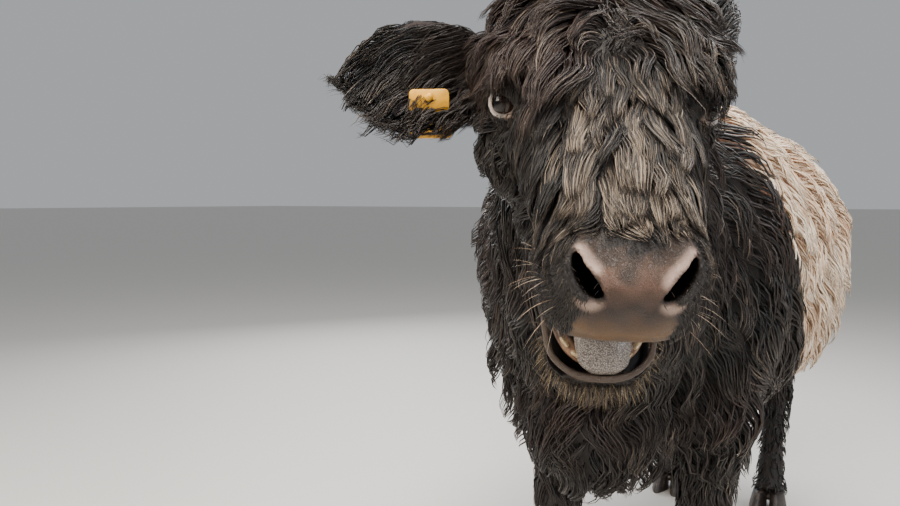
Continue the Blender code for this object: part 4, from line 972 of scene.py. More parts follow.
tongueRows = [
    (0.060, 0, -0.078, 0.026, 0.010, 0.014), (0.120, 0, -0.072, 0.029, 0.015, 0.016),
    (0.170, 0, -0.068, 0.031, 0.016, 0.014), (0.212, 0.0015, -0.0655, 0.0315, 0.014, 0.012),
    (0.246, 0.0015, -0.0665, 0.0295, 0.011, 0.010), (0.262, 0.0015, -0.0690, 0.0235, 0.007, 0.007),
    (0.2685, 0.0015, -0.0720, 0.0130, 0.003, 0.004),
]
tongueMesh = bmesh.new()
addLoft(tongueMesh, tongueRows, 60, 36, power=0.85, matrix=headMatrix @ jawInHead)
tongue = meshObject("tonguePiece", tongueMesh)
toJaw = (headMatrix @ jawInHead).inverted()
tonguePoints = transformed(cornersOf(tongue), toJaw)
middle = 1 - smoothStep(0.004, 0.022, np.abs(tonguePoints[:, 1]))
dark = middle * (1 - smoothStep(0.222, 0.246, tonguePoints[:, 0]))
setLayer(tongue, "dark", dark)
# a tongue: moist grey flesh, rough with small stiff papillae that catch the light one by one
tongueFlesh, tongueTree, tongueShader = newMaterial(
    "moistTonguePapillae", 0.38, 1.4, Coat_Weight=0.3, Coat_Roughness=0.25
)
tonguePlace = addNode(tongueTree, "TexCoord", out="Object")
papillae = addNode(tongueTree, "TexVoronoi", {"Scale": 1 / (1.3 * millimetre)}, {"Vector": tonguePlace})
bumpTone = addNode(tongueTree, "ValToRGB", links={0: papillae}, stops=[
    (0.10, "#c6bdb2"), (0.40, "#7d756c"), (0.70, "#453f3a"),
])
darkMark = addNode(tongueTree, "Attribute", {"attribute_name": "dark"}, out="Fac")
darkShare = addNode(tongueTree, "Math", {"operation": "MULTIPLY", 1: 0.88}, {0: darkMark})
flesh = addNode(tongueTree, "Mix", {"data_type": "RGBA", 7: "#1d1a19"}, {0: darkShare, 6: bumpTone}, out=2)
flesh = addNode(tongueTree, "Mix", {"data_type": "RGBA", 0: 0.12, 7: "#8f7f78"}, {6: flesh}, out=2)
tongueTree.links.new(flesh, tongueShader.inputs["Base Color"])
tongueBump = addNode(
    tongueTree, "Bump", {"Strength": 0.9, "Distance": 0.0010, "invert": True}, {"Height": papillae},
)
tongueTree.links.new(tongueBump, tongueShader.inputs["Normal"])
finishPiece(tongue, tongueFlesh, ["tongue"])

gum = {
    # the arc of the incisors, in the jaw's place before it opens
    "centre": (0.205, 0.0, -0.074),
    "along": 0.050,
    "across": 0.0455,
    "angles": (-78, -56, -34, -11.5, 11.5, 34, 56, 78),
    "lean": 30,
    "toothHalfWidth": 0.0080,
    "narrowing": 0.0012,  # of the outer teeth
}
openJaw = headMatrix @ jawInHead
swap = Matrix.Rotation(math.radians(90), 4, "Z")
teethMesh = bmesh.new()
for angle in gum["angles"]:
    a = math.radians(angle)
    x, y = gum["along"] * math.cos(a), gum["across"] * math.sin(a)
    size = gum["toothHalfWidth"] - gum["narrowing"] * abs(math.sin(a))
    place = Matrix.Translation(Vector(gum["centre"]) + Vector((x, y, 0.001)))
    turn = Matrix.Rotation(math.atan2(y, x), 4, "Z") @ Matrix.Rotation(math.radians(gum["lean"]), 4, "Y")
    stations = [
        (0, 0, -0.012, 0.0030, 0.0022, 0.0022), (0, 0, 0, size * 0.8, 0.0032, 0.0032),
        (0, 0, 0.007, size, 0.0020, 0.0026), (0, 0, 0.0092, size * 0.9, 0.0006, 0.0008),
    ]
    matrix = openJaw @ place @ turn @ swap
    addLoft(teethMesh, stations, 14, 16, power=0.8, upright=(0, 1, 0), matrix=matrix)
gumMesh = bmesh.new()
gumCurve = []
for angle in range(-100, 101, 10):
    a = math.radians(angle)
    x, y = (gum["along"] - 0.002) * math.cos(a), (gum["across"] - 0.001) * math.sin(a)
    gumCurve.append((gum["centre"][0] + x, y, -0.0765))
addTube(gumMesh, gumCurve, 0.0085, 80, 14, matrix=openJaw)
# enamel of an older cow, polished by grazing, is ivory with yellow-brown stain towards the gum;
# the gum is smooth wet flesh, tan to pink
for name, mesh, finish, roughness, ior, scale, stops, slot in (
    (
        "incisors", teethMesh, "stainedToothEnamel", 0.28, 1.62, 220.0,
        [(0.3, "#8a6a42"), (0.6, "#c9b28c"), (0.8, "#d8c7a8")], "tooth",
    ),
    (
        "gum", gumMesh, "wetGum", 0.3, 1.4, 90.0,
        [(0.35, "#4f3a2e"), (0.55, "#7d604b"), (0.75, "#96755c")], "mouth_flesh",
    ),
):
    material, tree, shader = newMaterial(finish, roughness, ior)
    place = addNode(tree, "TexCoord", out="Object")
    stain = addNode(tree, "TexNoise", {"Scale": scale, "Detail": 3.0}, {"Vector": place})
    tree.links.new(addNode(tree, "ValToRGB", links={0: stain}, stops=stops), shader.inputs["Base Color"])
    finishPiece(meshObject(name, mesh), material)

hoofShape = {
    # height, half length, width factor, lean back
    "stations": [
        (0.0002, 0.0570, 0.0290, 0.0), (0.004, 0.0580, 0.0298, 0.0005), (0.018, 0.0560, 0.0290, 0.003),
        (0.040, 0.0500, 0.0262, 0.009), (0.056, 0.0460, 0.0240, 0.013), (0.0615, 0.0440, 0.0225, 0.0145),
    ],
    "sides": 40,
}
hoofPlaces = {
    "hoof_front_left": (0.160, -0.44), "hoof_front_right": (-0.160, -0.44),
    "hoof_rear_left": (0.155, 0.540), "hoof_rear_right": (-0.155, 0.540),
}
# hoof horn, dull and ridged: dark grey-brown keratin with growth rings and dry scuffs
hoofHorn, hornTree, hornShader = newMaterial("hoofHornGrowthRings", 0.48, 1.54)
hornPlace = addNode(hornTree, "TexCoord", out="Object")
ringScale = 1 / (4.5 * millimetre) / 6.283
rings = addNode(
    hornTree, "TexWave", {"bands_direction": "Z", "Scale": ringScale, "Distortion": 2.5, "Detail": 2.0},
    {"Vector": hornPlace},
)
scuff = addNode(hornTree, "TexNoise", {"Scale": 60.0, "Detail": 6.0}, {"Vector": hornPlace})
hornColour = addNode(
    hornTree, "ValToRGB", links={0: scuff}, stops=[(0.3, "#191412"), (0.6, "#3a312b"), (0.8, "#6a5c50")],
)
hornTree.links.new(hornColour, hornShader.inputs["Base Color"])
hornBump = addNode(hornTree, "Bump", {"Strength": 0.35, "Distance": 0.001}, {"Height": rings})
hornTree.links.new(hornBump, hornShader.inputs["Normal"])
for node, (x, y) in hoofPlaces.items():
    hoofMesh = bmesh.new()
    for across in (-1, 1):
        made = []
        for z, longHalf, wide, lean in hoofShape["stations"]:
            ring = []
            for k in range(hoofShape["sides"]):
                angle = 2 * math.pi * k / hoofShape["sides"]
                c, s = math.cos(angle), math.sin(angle)
                toe = -longHalf * c if c > 0 else -0.85 * longHalf * c
                narrow = 1.0 - 0.28 * max(c, 0.0)
                px = x + across * (0.004 + wide * (0.86 + 0.86 * across * s * narrow))
                ring.append(hoofMesh.verts.new((px, y + toe - 0.012 + lean, z)))
            made.append(ring)
        bridge(hoofMesh, made)
    addBlob(hoofMesh, (x, y + 0.012, 0.040), (0.022, 0.026, 0.016))
    name = "claws" + node[4:].replace("_", "")
    finishPiece(meshObject(name, hoofMesh), hoofHorn, [node])

tag = {
    "along": 0.50, "below": 0.030, "corner": 0.006, "thickness": 0.0018, "edge": 0.0005,
    # each plate: how far in front of the hole, how far below it, width, height
    "plates": {"ear_tag_front": (0.004, 0.004, 0.050, 0.028), "ear_tag_back": (0.038, 0.022, 0.054, 0.052)},
    # the stud on each: depth, radius at both ends, how far in front of the hole
    "studs": {
        "ear_tag_front": (0.0036, 0.0058, 0.0048, 0.0020), "ear_tag_back": (0.0326, 0.0028, 0.0028, 0.0212),
    },
    "studSides": {"ear_tag_front": 28, "ear_tag_back": 24},
}
# polyurethane ear tag, injection moulded: soft satin yellow, a little faded, with dirt in its corners
tagPlastic, tagTree, tagShader = newMaterial("mouldedPolyurethaneTag", 0.42, 1.49)
tagPlace = addNode(tagTree, "TexCoord", out="Object")
dirt = addNode(tagTree, "TexNoise", {"Scale": 45.0, "Detail": 6.0}, {"Vector": tagPlace})
tagColour = addNode(
    tagTree, "ValToRGB", links={0: dirt}, stops=[(0.35, "#b5811c"), (0.5, "#e2a21c"), (0.75, "#efb42c")],
)
tagTree.links.new(tagColour, tagShader.inputs["Base Color"])
dirtBump = addNode(tagTree, "Bump", {"Strength": 0.15, "Distance": 0.0004}, {"Height": dirt})
tagTree.links.new(dirtBump, tagShader.inputs["Normal"])


def addPlate(bm, centre, wideWay, tallWay, width, height):
    normal = wideWay.cross(tallWay).normalized()
    rings = []
    for inset, lift in ((tag["edge"], -0.5), (0.0, -0.25), (0.0, 0.25), (tag["edge"], 0.5)):
        ring = []
        for cx, cy, start in ((1, 1, 0), (-1, 1, 90), (-1, -1, 180), (1, -1, 270)):
            for step in range(9):
                angle = math.radians(start + step * 11.25)
                x = cx * (width / 2 - tag["corner"]) + (tag["corner"] - inset) * math.cos(angle)
                y = cy * (height / 2 - tag["corner"]) + (tag["corner"] - inset) * math.sin(angle)
                out = normal * lift * tag["thickness"]
                ring.append(bm.verts.new(centre + wideWay * x + tallWay * y + out))
        rings.append(ring)
    bridge(bm, rings)


tagRoot, tagAxis, tagAcross, tagFacing = earPoses[-1]
through = tagRoot + tagAxis * earShape["length"] * tag["along"] - tagAcross * tag["below"]
for node, (push, drop, width, height) in tag["plates"].items():
    plateMesh = bmesh.new()
    addPlate(plateMesh, through - tagFacing * push - tagAcross * drop, tagAxis, tagAcross, width, height)
    depth, wide, narrow, into = tag["studs"][node]
    upright = tagFacing.to_track_quat("Z", "Y").to_matrix().to_4x4()
    place = Matrix.Translation(through - tagFacing * into) @ upright
    bmesh.ops.create_cone(
        plateMesh, cap_ends=True, segments=tag["studSides"][node], radius1=wide, radius2=narrow,
        depth=depth, matrix=place,
    )
    finishPiece(meshObject(node.replace("_", ""), plateMesh), tagPlastic, [node])
print("eyes, mouth, hooves and tag made")

# the coat: solid tapered locks that follow the lie of the hair

headInverse = headMatrix.inverted()
noseArray, leftArray, browArray = (np.array(axis) for axis in (noseWay, leftWay, browWay))
downWay = np.array((0.0, 0.0, -1.0))
whorl = np.array((-0.004, 0.006))  # between the eyes, in the head's axes


def nearestOn(tree, points):
    spots, normals = np.empty_like(points), np.empty_like(points)
    for i, point in enumerate(points.tolist()):
        spot, normal, _, _ = tree.find_nearest(point)
        spots[i] = spot
        normals[i] = normal
    return spots, normals


def mixTo(first, second, share):
    return first * (1 - share)[:, None] + second * share[:, None]


def lieOnBody(points, normals):
    # which way the hair lies on the trunk, neck, legs and tail
    x, y, z = points.T
    top = np.clip(normals[:, 2], 0, 1)
    side = np.tanh(x / 0.05)
    trunk = np.stack([side * 0.7 * top, np.full(len(x), 0.42), -0.9 * (1 - top)], 1)
    belly = np.tile((0.0, 1.0, -0.1), (len(x), 1))
    trunk = mixTo(trunk, belly, (normals[:, 2] < -0.6).astype(float))
    neckSide = np.tanh(((points - np.array((0.02, -0.60, 0.86))) @ leftArray) / 0.05)
    neck = leftArray * (neckSide * 0.6 * top)[:, None]
    neck = neck + np.stack([np.full(len(x), -0.12), np.full(len(x), 0.40), -0.85 * (1 - top)], 1)
    lie = mixTo(neck, trunk, smoothStep(-0.66, -0.46, y))
    legs = np.tile((0.0, 0.18, -1.0), (len(x), 1))
    low = (1 - smoothStep(0.44, 0.60, z)) * (normals[:, 2] > -0.6)
    tail = smoothStep(0.775, 0.80, y) * (z < 1.05)
    return mixTo(lie, legs, np.maximum(low, tail))


def lieOnHead(points, normals):
    local = transformed(points, headInverse)
    x, y, z = local.T
    top = np.clip((z + 0.01) / 0.06, 0, 1)
    part = np.clip(y / 0.09, -1, 1)
    bridge = noseArray + leftArray * (part * 0.30 + 0.10 * wobble(local, 0.05, 31))[:, None]
    sign = np.tanh((y - 0.004) / 0.012)
    away = np.clip((whorl[0] - x) / 0.05, 0, 1)
    curtain = leftArray * (sign * (0.45 + 0.75 * away))[:, None] + noseArray * (1.0 - 0.25 * away)[:, None]
    centre = np.exp(-((x - whorl[0] + 0.028) ** 2 + (y - whorl[1]) ** 2) / 0.020**2)
    fromWhorl = noseArray * (x - whorl[0])[:, None] + leftArray * ((y - whorl[1]) * 1.4)[:, None]
    over = mixTo(bridge, curtain, 1 - smoothStep(whorl[0] - 0.02, whorl[0] + 0.02, x))
    over = mixTo(over, unit(fromWhorl), centre)
    cheek = -browArray * 0.9 - noseArray * 0.25 + downWay * 0.6
    cheek = cheek + noseArray * (0.9 * smoothStep(0.12, 0.22, x))[:, None]
    return mixTo(cheek, over, top)


def lieOnEar(side):
    root, axis, across = (np.array(v) for v in earPoses[side][:3])

    def lie(points, normals):
        v = ((points - root) @ across) / earShape["halfHeight"]
        return axis * 0.9 + across * (0.5 * v)[:, None] + downWay * 0.35
    return lie


def outsideOf(tree, points, margin):
    spots, normals = nearestOn(tree, points)
    return dots(points - spots, normals) > margin


def scatter(ground, density, count, seed):
    # roots spread evenly by area, more where the density at the corners is higher
    rng = np.random.default_rng(seed)
    corners, faces = ground["corners"], ground["faces"]
    a, b, c = (corners[faces[:, k]] for k in range(3))
    area = np.linalg.norm(np.cross(b - a, c - a), axis=1) / 2
    share = density[faces].mean(1) * (1 - ground["marks"]["bare"][faces].max(1))
    total = np.cumsum(area * np.maximum(share, 0))
    picks = np.searchsorted(total, (np.arange(count) + rng.random(count)) / count * total[-1])
    picks = np.minimum(picks, len(faces) - 1)
    u, v = rng.random(count), rng.random(count)
    flip = u + v > 1
    u[flip], v[flip] = 1 - u[flip], 1 - v[flip]
    weights = np.stack([1 - u - v, u, v], 1)[:, :, None]
    roots = (corners[faces[picks]] * weights).sum(1)
    normals = unit((ground["normals"][faces[picks]] * weights).sum(1))
    return roots, normals


def leadersOf(roots, perClump, seed):
    # for each lock the number of the lock that its clump follows
    rng = np.random.default_rng(seed)
    leaders = rng.choice(len(roots), max(2, len(roots) // perClump), replace=False)
    tree = KDTree(len(leaders))
    for i, leader in enumerate(leaders):
        tree.insert(roots[leader].tolist(), i)
    tree.balance()
    return np.array([leaders[tree.find(root)[1]] for root in roots.tolist()])


growth = {"rootDepth": 0.0015, "clearance": 0.0012, "tipClearance": 0.004}


def growLocks(ground, roots, normals, lie, traits, stations, seed):
    # the path of every lock: it lies along the skin at its height, waves, and hangs where it is long
    rng = np.random.default_rng(seed)
    count = len(roots)
    tree = ground["tree"]
    leaders = leadersOf(roots, traits["perClump"], seed + 7)
    length = traits["length"] * rng.uniform(0.75, 1.12, count)[leaders] * rng.uniform(0.80, 1.04, count)
    lift = rng.uniform(0.35, 1.1, count)[leaders] * 0.7
    lift = traits["lift"] * (lift + rng.uniform(0.35, 1.1, count) * 0.3)
    step = length / (stations - 1)
    paths = np.empty((count, stations, 3))
    ups = np.empty((count, stations, 3))
    here, spot, normal = roots - normals * growth["rootDepth"], roots.copy(), normals.copy()
    paths[:, 0], ups[:, 0] = here, normal
    stray = (rng.normal(0, 1, (count, 3))[leaders] + 0.35 * rng.normal(0, 1, (count, 3))) * traits["stray"]
    for k in range(1, stations):
        t = k / (stations - 1)
        way = lie(here, normal)
        way = way - normal * dots(way, normal)[:, None]
        way = unit(way) + stray
        height = dots(here - spot, normal)
        push = np.clip((lift * min(1.0, 1.25 * t**0.75) - height) / step, -0.55, 1.3)
        free = np.full(count, traits["droop"] * t)
        ahead = unit(way) * (1 - free)[:, None] + normal * (push * (1 - 0.6 * free))[:, None]
        ahead = ahead + downWay * free[:, None]
        here = here + unit(ahead) * step[:, None]
        spot, normal = nearestOn(tree, here)
        height = dots(here - spot, normal)
        low = growth["clearance"] + growth["tipClearance"] * t
        here = here + normal * np.maximum(low - height, 0)[:, None]
        paths[:, k], ups[:, k] = here, normal
    flow = unit(np.gradient(paths, axis=1))
    sides = unit(np.cross(flow, ups))
    phase = (2 * math.pi * wobble(roots, traits["together"], seed + 1) + rng.normal(0, 0.7, count))[leaders]
    phase = phase + rng.normal(0, 0.16, count)
    t = np.linspace(0, 1, stations)[None, :]
    pitch = traits["waveLength"] * rng.uniform(0.8, 1.25, count)[leaders]
    turn = 2 * math.pi * length[:, None] * t / pitch[:, None] + phase[:, None]
    size = (traits["wave"] * rng.uniform(0.45, 1.4, count)[leaders])[:, None] * np.minimum(1, 2.2 * t)
    paths += sides * (size * (np.sin(turn) - np.sin(phase)[:, None] * (1 - t)))[:, :, None]
    paths += ups * (size * 0.55 * (1 + np.cos(turn)) * np.minimum(1, 3 * t))[:, :, None]
    t = t[:, :, None]
    share = (traits["clump"] * rng.uniform(0.7, 1.1, count)).clip(0, 0.95)[:, None, None] * t**1.1
    target = paths[leaders] + (roots - roots[leaders])[:, None, :] * (0.45 - 0.30 * t)
    return paths * (1 - share) + target * share, ups, leaders


def unwrapped(kind, roots):
    # each root's place on an unwrap of the skin's own shape, from 0 to 1
    if kind == "head":
        local = transformed(roots, headInverse)
        u = (local[:, 0] + 0.25) / 0.60
        v = np.arctan2(local[:, 1], local[:, 2] + 0.03) / (2 * math.pi) + 0.5
    elif kind == "trunk":
        u = (roots[:, 1] + 1.15) / 2.1
        v = np.arctan2(roots[:, 0] - 0.02, roots[:, 2] - 0.83) / (2 * math.pi) + 0.5
    elif kind == "leg":
        side, hind = (roots[:, 0] > 0).astype(float), (roots[:, 1] > 0.1).astype(float)
        u = np.clip((roots[:, 2] - 0.02) / 0.9, 0, 1)
        angle = np.arctan2(np.abs(roots[:, 0]) - 0.157, roots[:, 1] - np.where(hind > 0, 0.57, -0.42))
        v = (side + 2 * hind + angle / (2 * math.pi) + 0.5) / 4
    elif kind == "tail":
        u = roots[:, 2] / 1.2
        v = np.arctan2(roots[:, 0], roots[:, 1] - 0.82) / (2 * math.pi) + 0.5
    else:
        side = -1 if kind == "earRight" else 1
        root, axis, across = (np.array(v) for v in earPoses[side][:3])
        u = ((roots - root) @ axis) / earShape["length"] * 0.8 + 0.1
        v = ((roots - root) @ across) / earShape["halfHeight"] * 0.2 + 0.5
    return np.stack([np.clip(u, 0.004, 0.992), np.clip(v, 0.004, 0.992)], 1)


# a lock's cross section and taper, and the size of its texture's patch on the unwrap
lockShape = {"atRoot": 0.55, "taper": 2.4, "base": 0.25, "crown": 0.62, "patch": 0.003}


def lockMesh(name, paths, ups, width, places, tints, seed):
    # closed locks of three sides that taper to a point, in one mesh
    rng = np.random.default_rng(seed)
    count, stations = paths.shape[:2]
    t = np.linspace(0, 1, stations)
    flow = unit(np.gradient(paths, axis=1))
    side = unit(np.cross(flow, ups))
    up = np.cross(side, flow)
    twist = rng.normal(0, 0.5, count)[:, None] + rng.normal(0, 0.8, count)[:, None] * t
    c, s = np.cos(twist)[:, :, None], np.sin(twist)[:, :, None]
    side, up = side * c + up * s, up * c - side * s
    profile = lockShape["atRoot"] + (1 - lockShape["atRoot"]) * np.minimum(1, 4 * t)
    profile = profile * (1 - t ** lockShape["taper"])
    half = (width[:, None] * profile[None, :])[:, :, None] / 2
    low, crown = paths - up * half * lockShape["base"], paths + up * half * lockShape["crown"]
    rings = np.stack([low - side * half, low + side * half, crown], 2)[:, :-1]
    points = np.concatenate([rings.reshape(count, -1, 3), paths[:, -1:]], 1)
    each = points.shape[1]
    faces = [(0, 2, 1)]
    for k in range(stations - 2):
        for a, b in ((0, 1), (1, 2), (2, 0)):
            low, high = 3 * k, 3 * k + 3
            faces += [(low + a, low + b, high + b), (low + a, high + b, high + a)]
    last = 3 * (stations - 2)
    faces += [(last + a, last + b, each - 1) for a, b in ((0, 1), (1, 2), (2, 0))]
    faces = np.array(faces)
    allFaces = (faces[None] + (np.arange(count) * each)[:, None, None]).reshape(-1, 3)
    mesh = bpy.data.meshes.new(name)
    mesh.from_pydata(points.reshape(-1, 3), [], allFaces)
    along = np.append(np.repeat(t[:-1], 3), 1.0)
    around = np.append(np.tile((0.0, 0.5, 1.0), stations - 1), 0.5)
    layers = {
        "along": np.tile(along, count),
        "around": np.tile(around, count),
        "tint": np.repeat(tints[0], each),
        "warm": np.repeat(tints[1], each),
        "number": np.repeat(rng.random(count), each),
    }
    obj = addObject(name, mesh)
    for key, values in layers.items():
        setLayer(obj, key, values)
    patch = np.stack([np.tile(around, count), np.tile(along, count)], 1) * lockShape["patch"]
    patch = patch + np.repeat(places, each, 0)
    corners = np.ascontiguousarray(patch[allFaces.ravel()], np.float32).ravel()
    mesh.uv_layers.new(name="OFBake").data.foreach_set("uv", corners)
    return obj


# dark keratin over a hollow core: smooth enough for a long soft glint, with fine streaks along each lock
# its colours run from a painted shadow to pale tips, which are partly sun-bleached and partly painted
# highlight
darkHair = {"shadow": "#020202", "middle": "#0d0a08", "light": "#3b3128", "tip": "#a08f7b", "red": "#3a1c10"}
blackHair, blackTree, blackShader = newMaterial("blackCattleHairLocks", 0.42, 1.55, Specular_IOR_Level=0.42)
# unpigmented hair looks warm white, as light passes through it and comes out beside where it went in; here
# its own cream colour also carries that warm glow as painted light, with painted shade at the roots
paleHair = {"shadow": "#b8916f", "middle": "#e0c7ab", "light": "#f1e3cf", "tip": "#f8efe0", "red": "#c08a5c"}
whiteHair, whiteTree, whiteShader = newMaterial("whiteCattleHairLocks", 0.55, 1.55, Specular_IOR_Level=0.3)
# stiff golden tan bristles, thick enough to look like gold wire where light passes through their tips; that
# light is painted into their pale tips
goldTones = {"shadow": "#120d09", "middle": "#3a2b1b", "light": "#8f7850", "tip": "#dcc9a2", "red": "#4a3220"}
goldHair, goldTree, goldShader = newMaterial("goldenChinBristle", 0.35, 1.55, Specular_IOR_Level=0.5)
for tree, shader, tones, depth in (
    (blackTree, blackShader, darkHair, 0.55), (whiteTree, whiteShader, paleHair, 0.45),
    (goldTree, goldShader, goldTones, 0.40),
):
    trait = {}
    for name in ("along", "around", "tint", "warm", "number"):
        trait[name] = addNode(tree, "Attribute", {"attribute_name": name}, out="Fac")
    ownX, ownY, ownZ = (
        addNode(tree, "Math", {"operation": "MULTIPLY", 1: share}, {0: trait[name]})
        for name, share in (("number", 90.0), ("along", 1.3), ("number", 37.0))
    )
    across = addNode(tree, "Math", {"operation": "MULTIPLY_ADD", 1: 4.0}, {0: trait["around"], 2: ownX})
    fibre = addNode(tree, "CombineXYZ", links={0: across, 1: ownY, 2: ownZ})
    streaks = addNode(tree, "TexNoise", {"Scale": 1.6, "Detail": 2.0}, {"Vector": fibre})
    tone = addNode(tree, "MapRange", {1: 0.32, 2: 0.68, 3: 0.0, 4: depth}, {0: streaks})
    tone = addNode(tree, "Math", {"operation": "MULTIPLY_ADD", 1: 0.62}, {0: trait["tint"], 2: tone})
    # darker towards each lock's root, painted shade deep in the coat, and lighter towards its tip
    tone = addNode(
        tree, "Math", {"operation": "MULTIPLY_ADD", "use_clamp": True, 1: 0.30}, {0: trait["along"], 2: tone},
    )
    shade = addNode(tree, "ValToRGB", links={0: tone}, stops=[
        (0.22, tones["shadow"]), (0.50, tones["middle"]), (0.80, tones["light"]), (1.0, tones["tip"]),
    ])
    tipped = addNode(tree, "Math", {"operation": "MULTIPLY_ADD", 1: 0.5, 2: 0.3}, {0: trait["along"]})
    redShare = addNode(
        tree, "Math", {"operation": "MULTIPLY", "use_clamp": True}, {0: trait["warm"], 1: tipped},
    )
    shade = addNode(tree, "Mix", {"data_type": "RGBA", 7: tones["red"]}, {0: redShare, 6: shade}, out=2)
    tree.links.new(shade, shader.inputs["Base Color"])
    fibreBump = addNode(tree, "Bump", {"Strength": 0.7, "Distance": 0.0012}, {"Height": streaks})
    tree.links.new(fibreBump, shader.inputs["Normal"])

headLocal = transformed(grounds["head"]["corners"], headInverse)
headX, headY, headZ = headLocal.T
eyeGap = np.min([np.linalg.norm(headLocal - place, axis=1) for place in eyeCentres.values()], axis=0)
bodyX, bodyY, bodyZ = grounds["body"]["corners"].T
upperFace = smoothStep(-0.030, 0.0, headZ - 0.25 * np.maximum(np.abs(headY) - 0.07, 0))
awayFromEye = smoothStep(0.024, 0.034, eyeGap)
udderZone = (np.abs(bodyX) < 0.11) * (np.abs(bodyY - 0.375) < 0.14) * (bodyZ < 0.60)
hairless = 1 - udderZone * (bodyZ < 0.50)
legSkin = (1 - smoothStep(0.47, 0.52, bodyZ)) * (bodyY < 0.76)
tailSkin = smoothStep(0.780, 0.795, bodyY) * (bodyZ < 1.08)
trunkSkin = (1 - legSkin) * (1 - tailSkin) * hairless
inView = np.clip(grounds["body"]["normals"] @ np.array((0.15, -0.95, 0.05)) + 0.3, 0, 1)


def faceBand(low, full, fading, high):
    # 1 between two places along the face, 0 beyond
    return smoothStep(low, full, headX) * (1 - smoothStep(fading, high, headX))


def bodyBand(low, full, fading, high):
    # the same along the body
    return smoothStep(low, full, bodyY) * (1 - smoothStep(fading, high, bodyY))


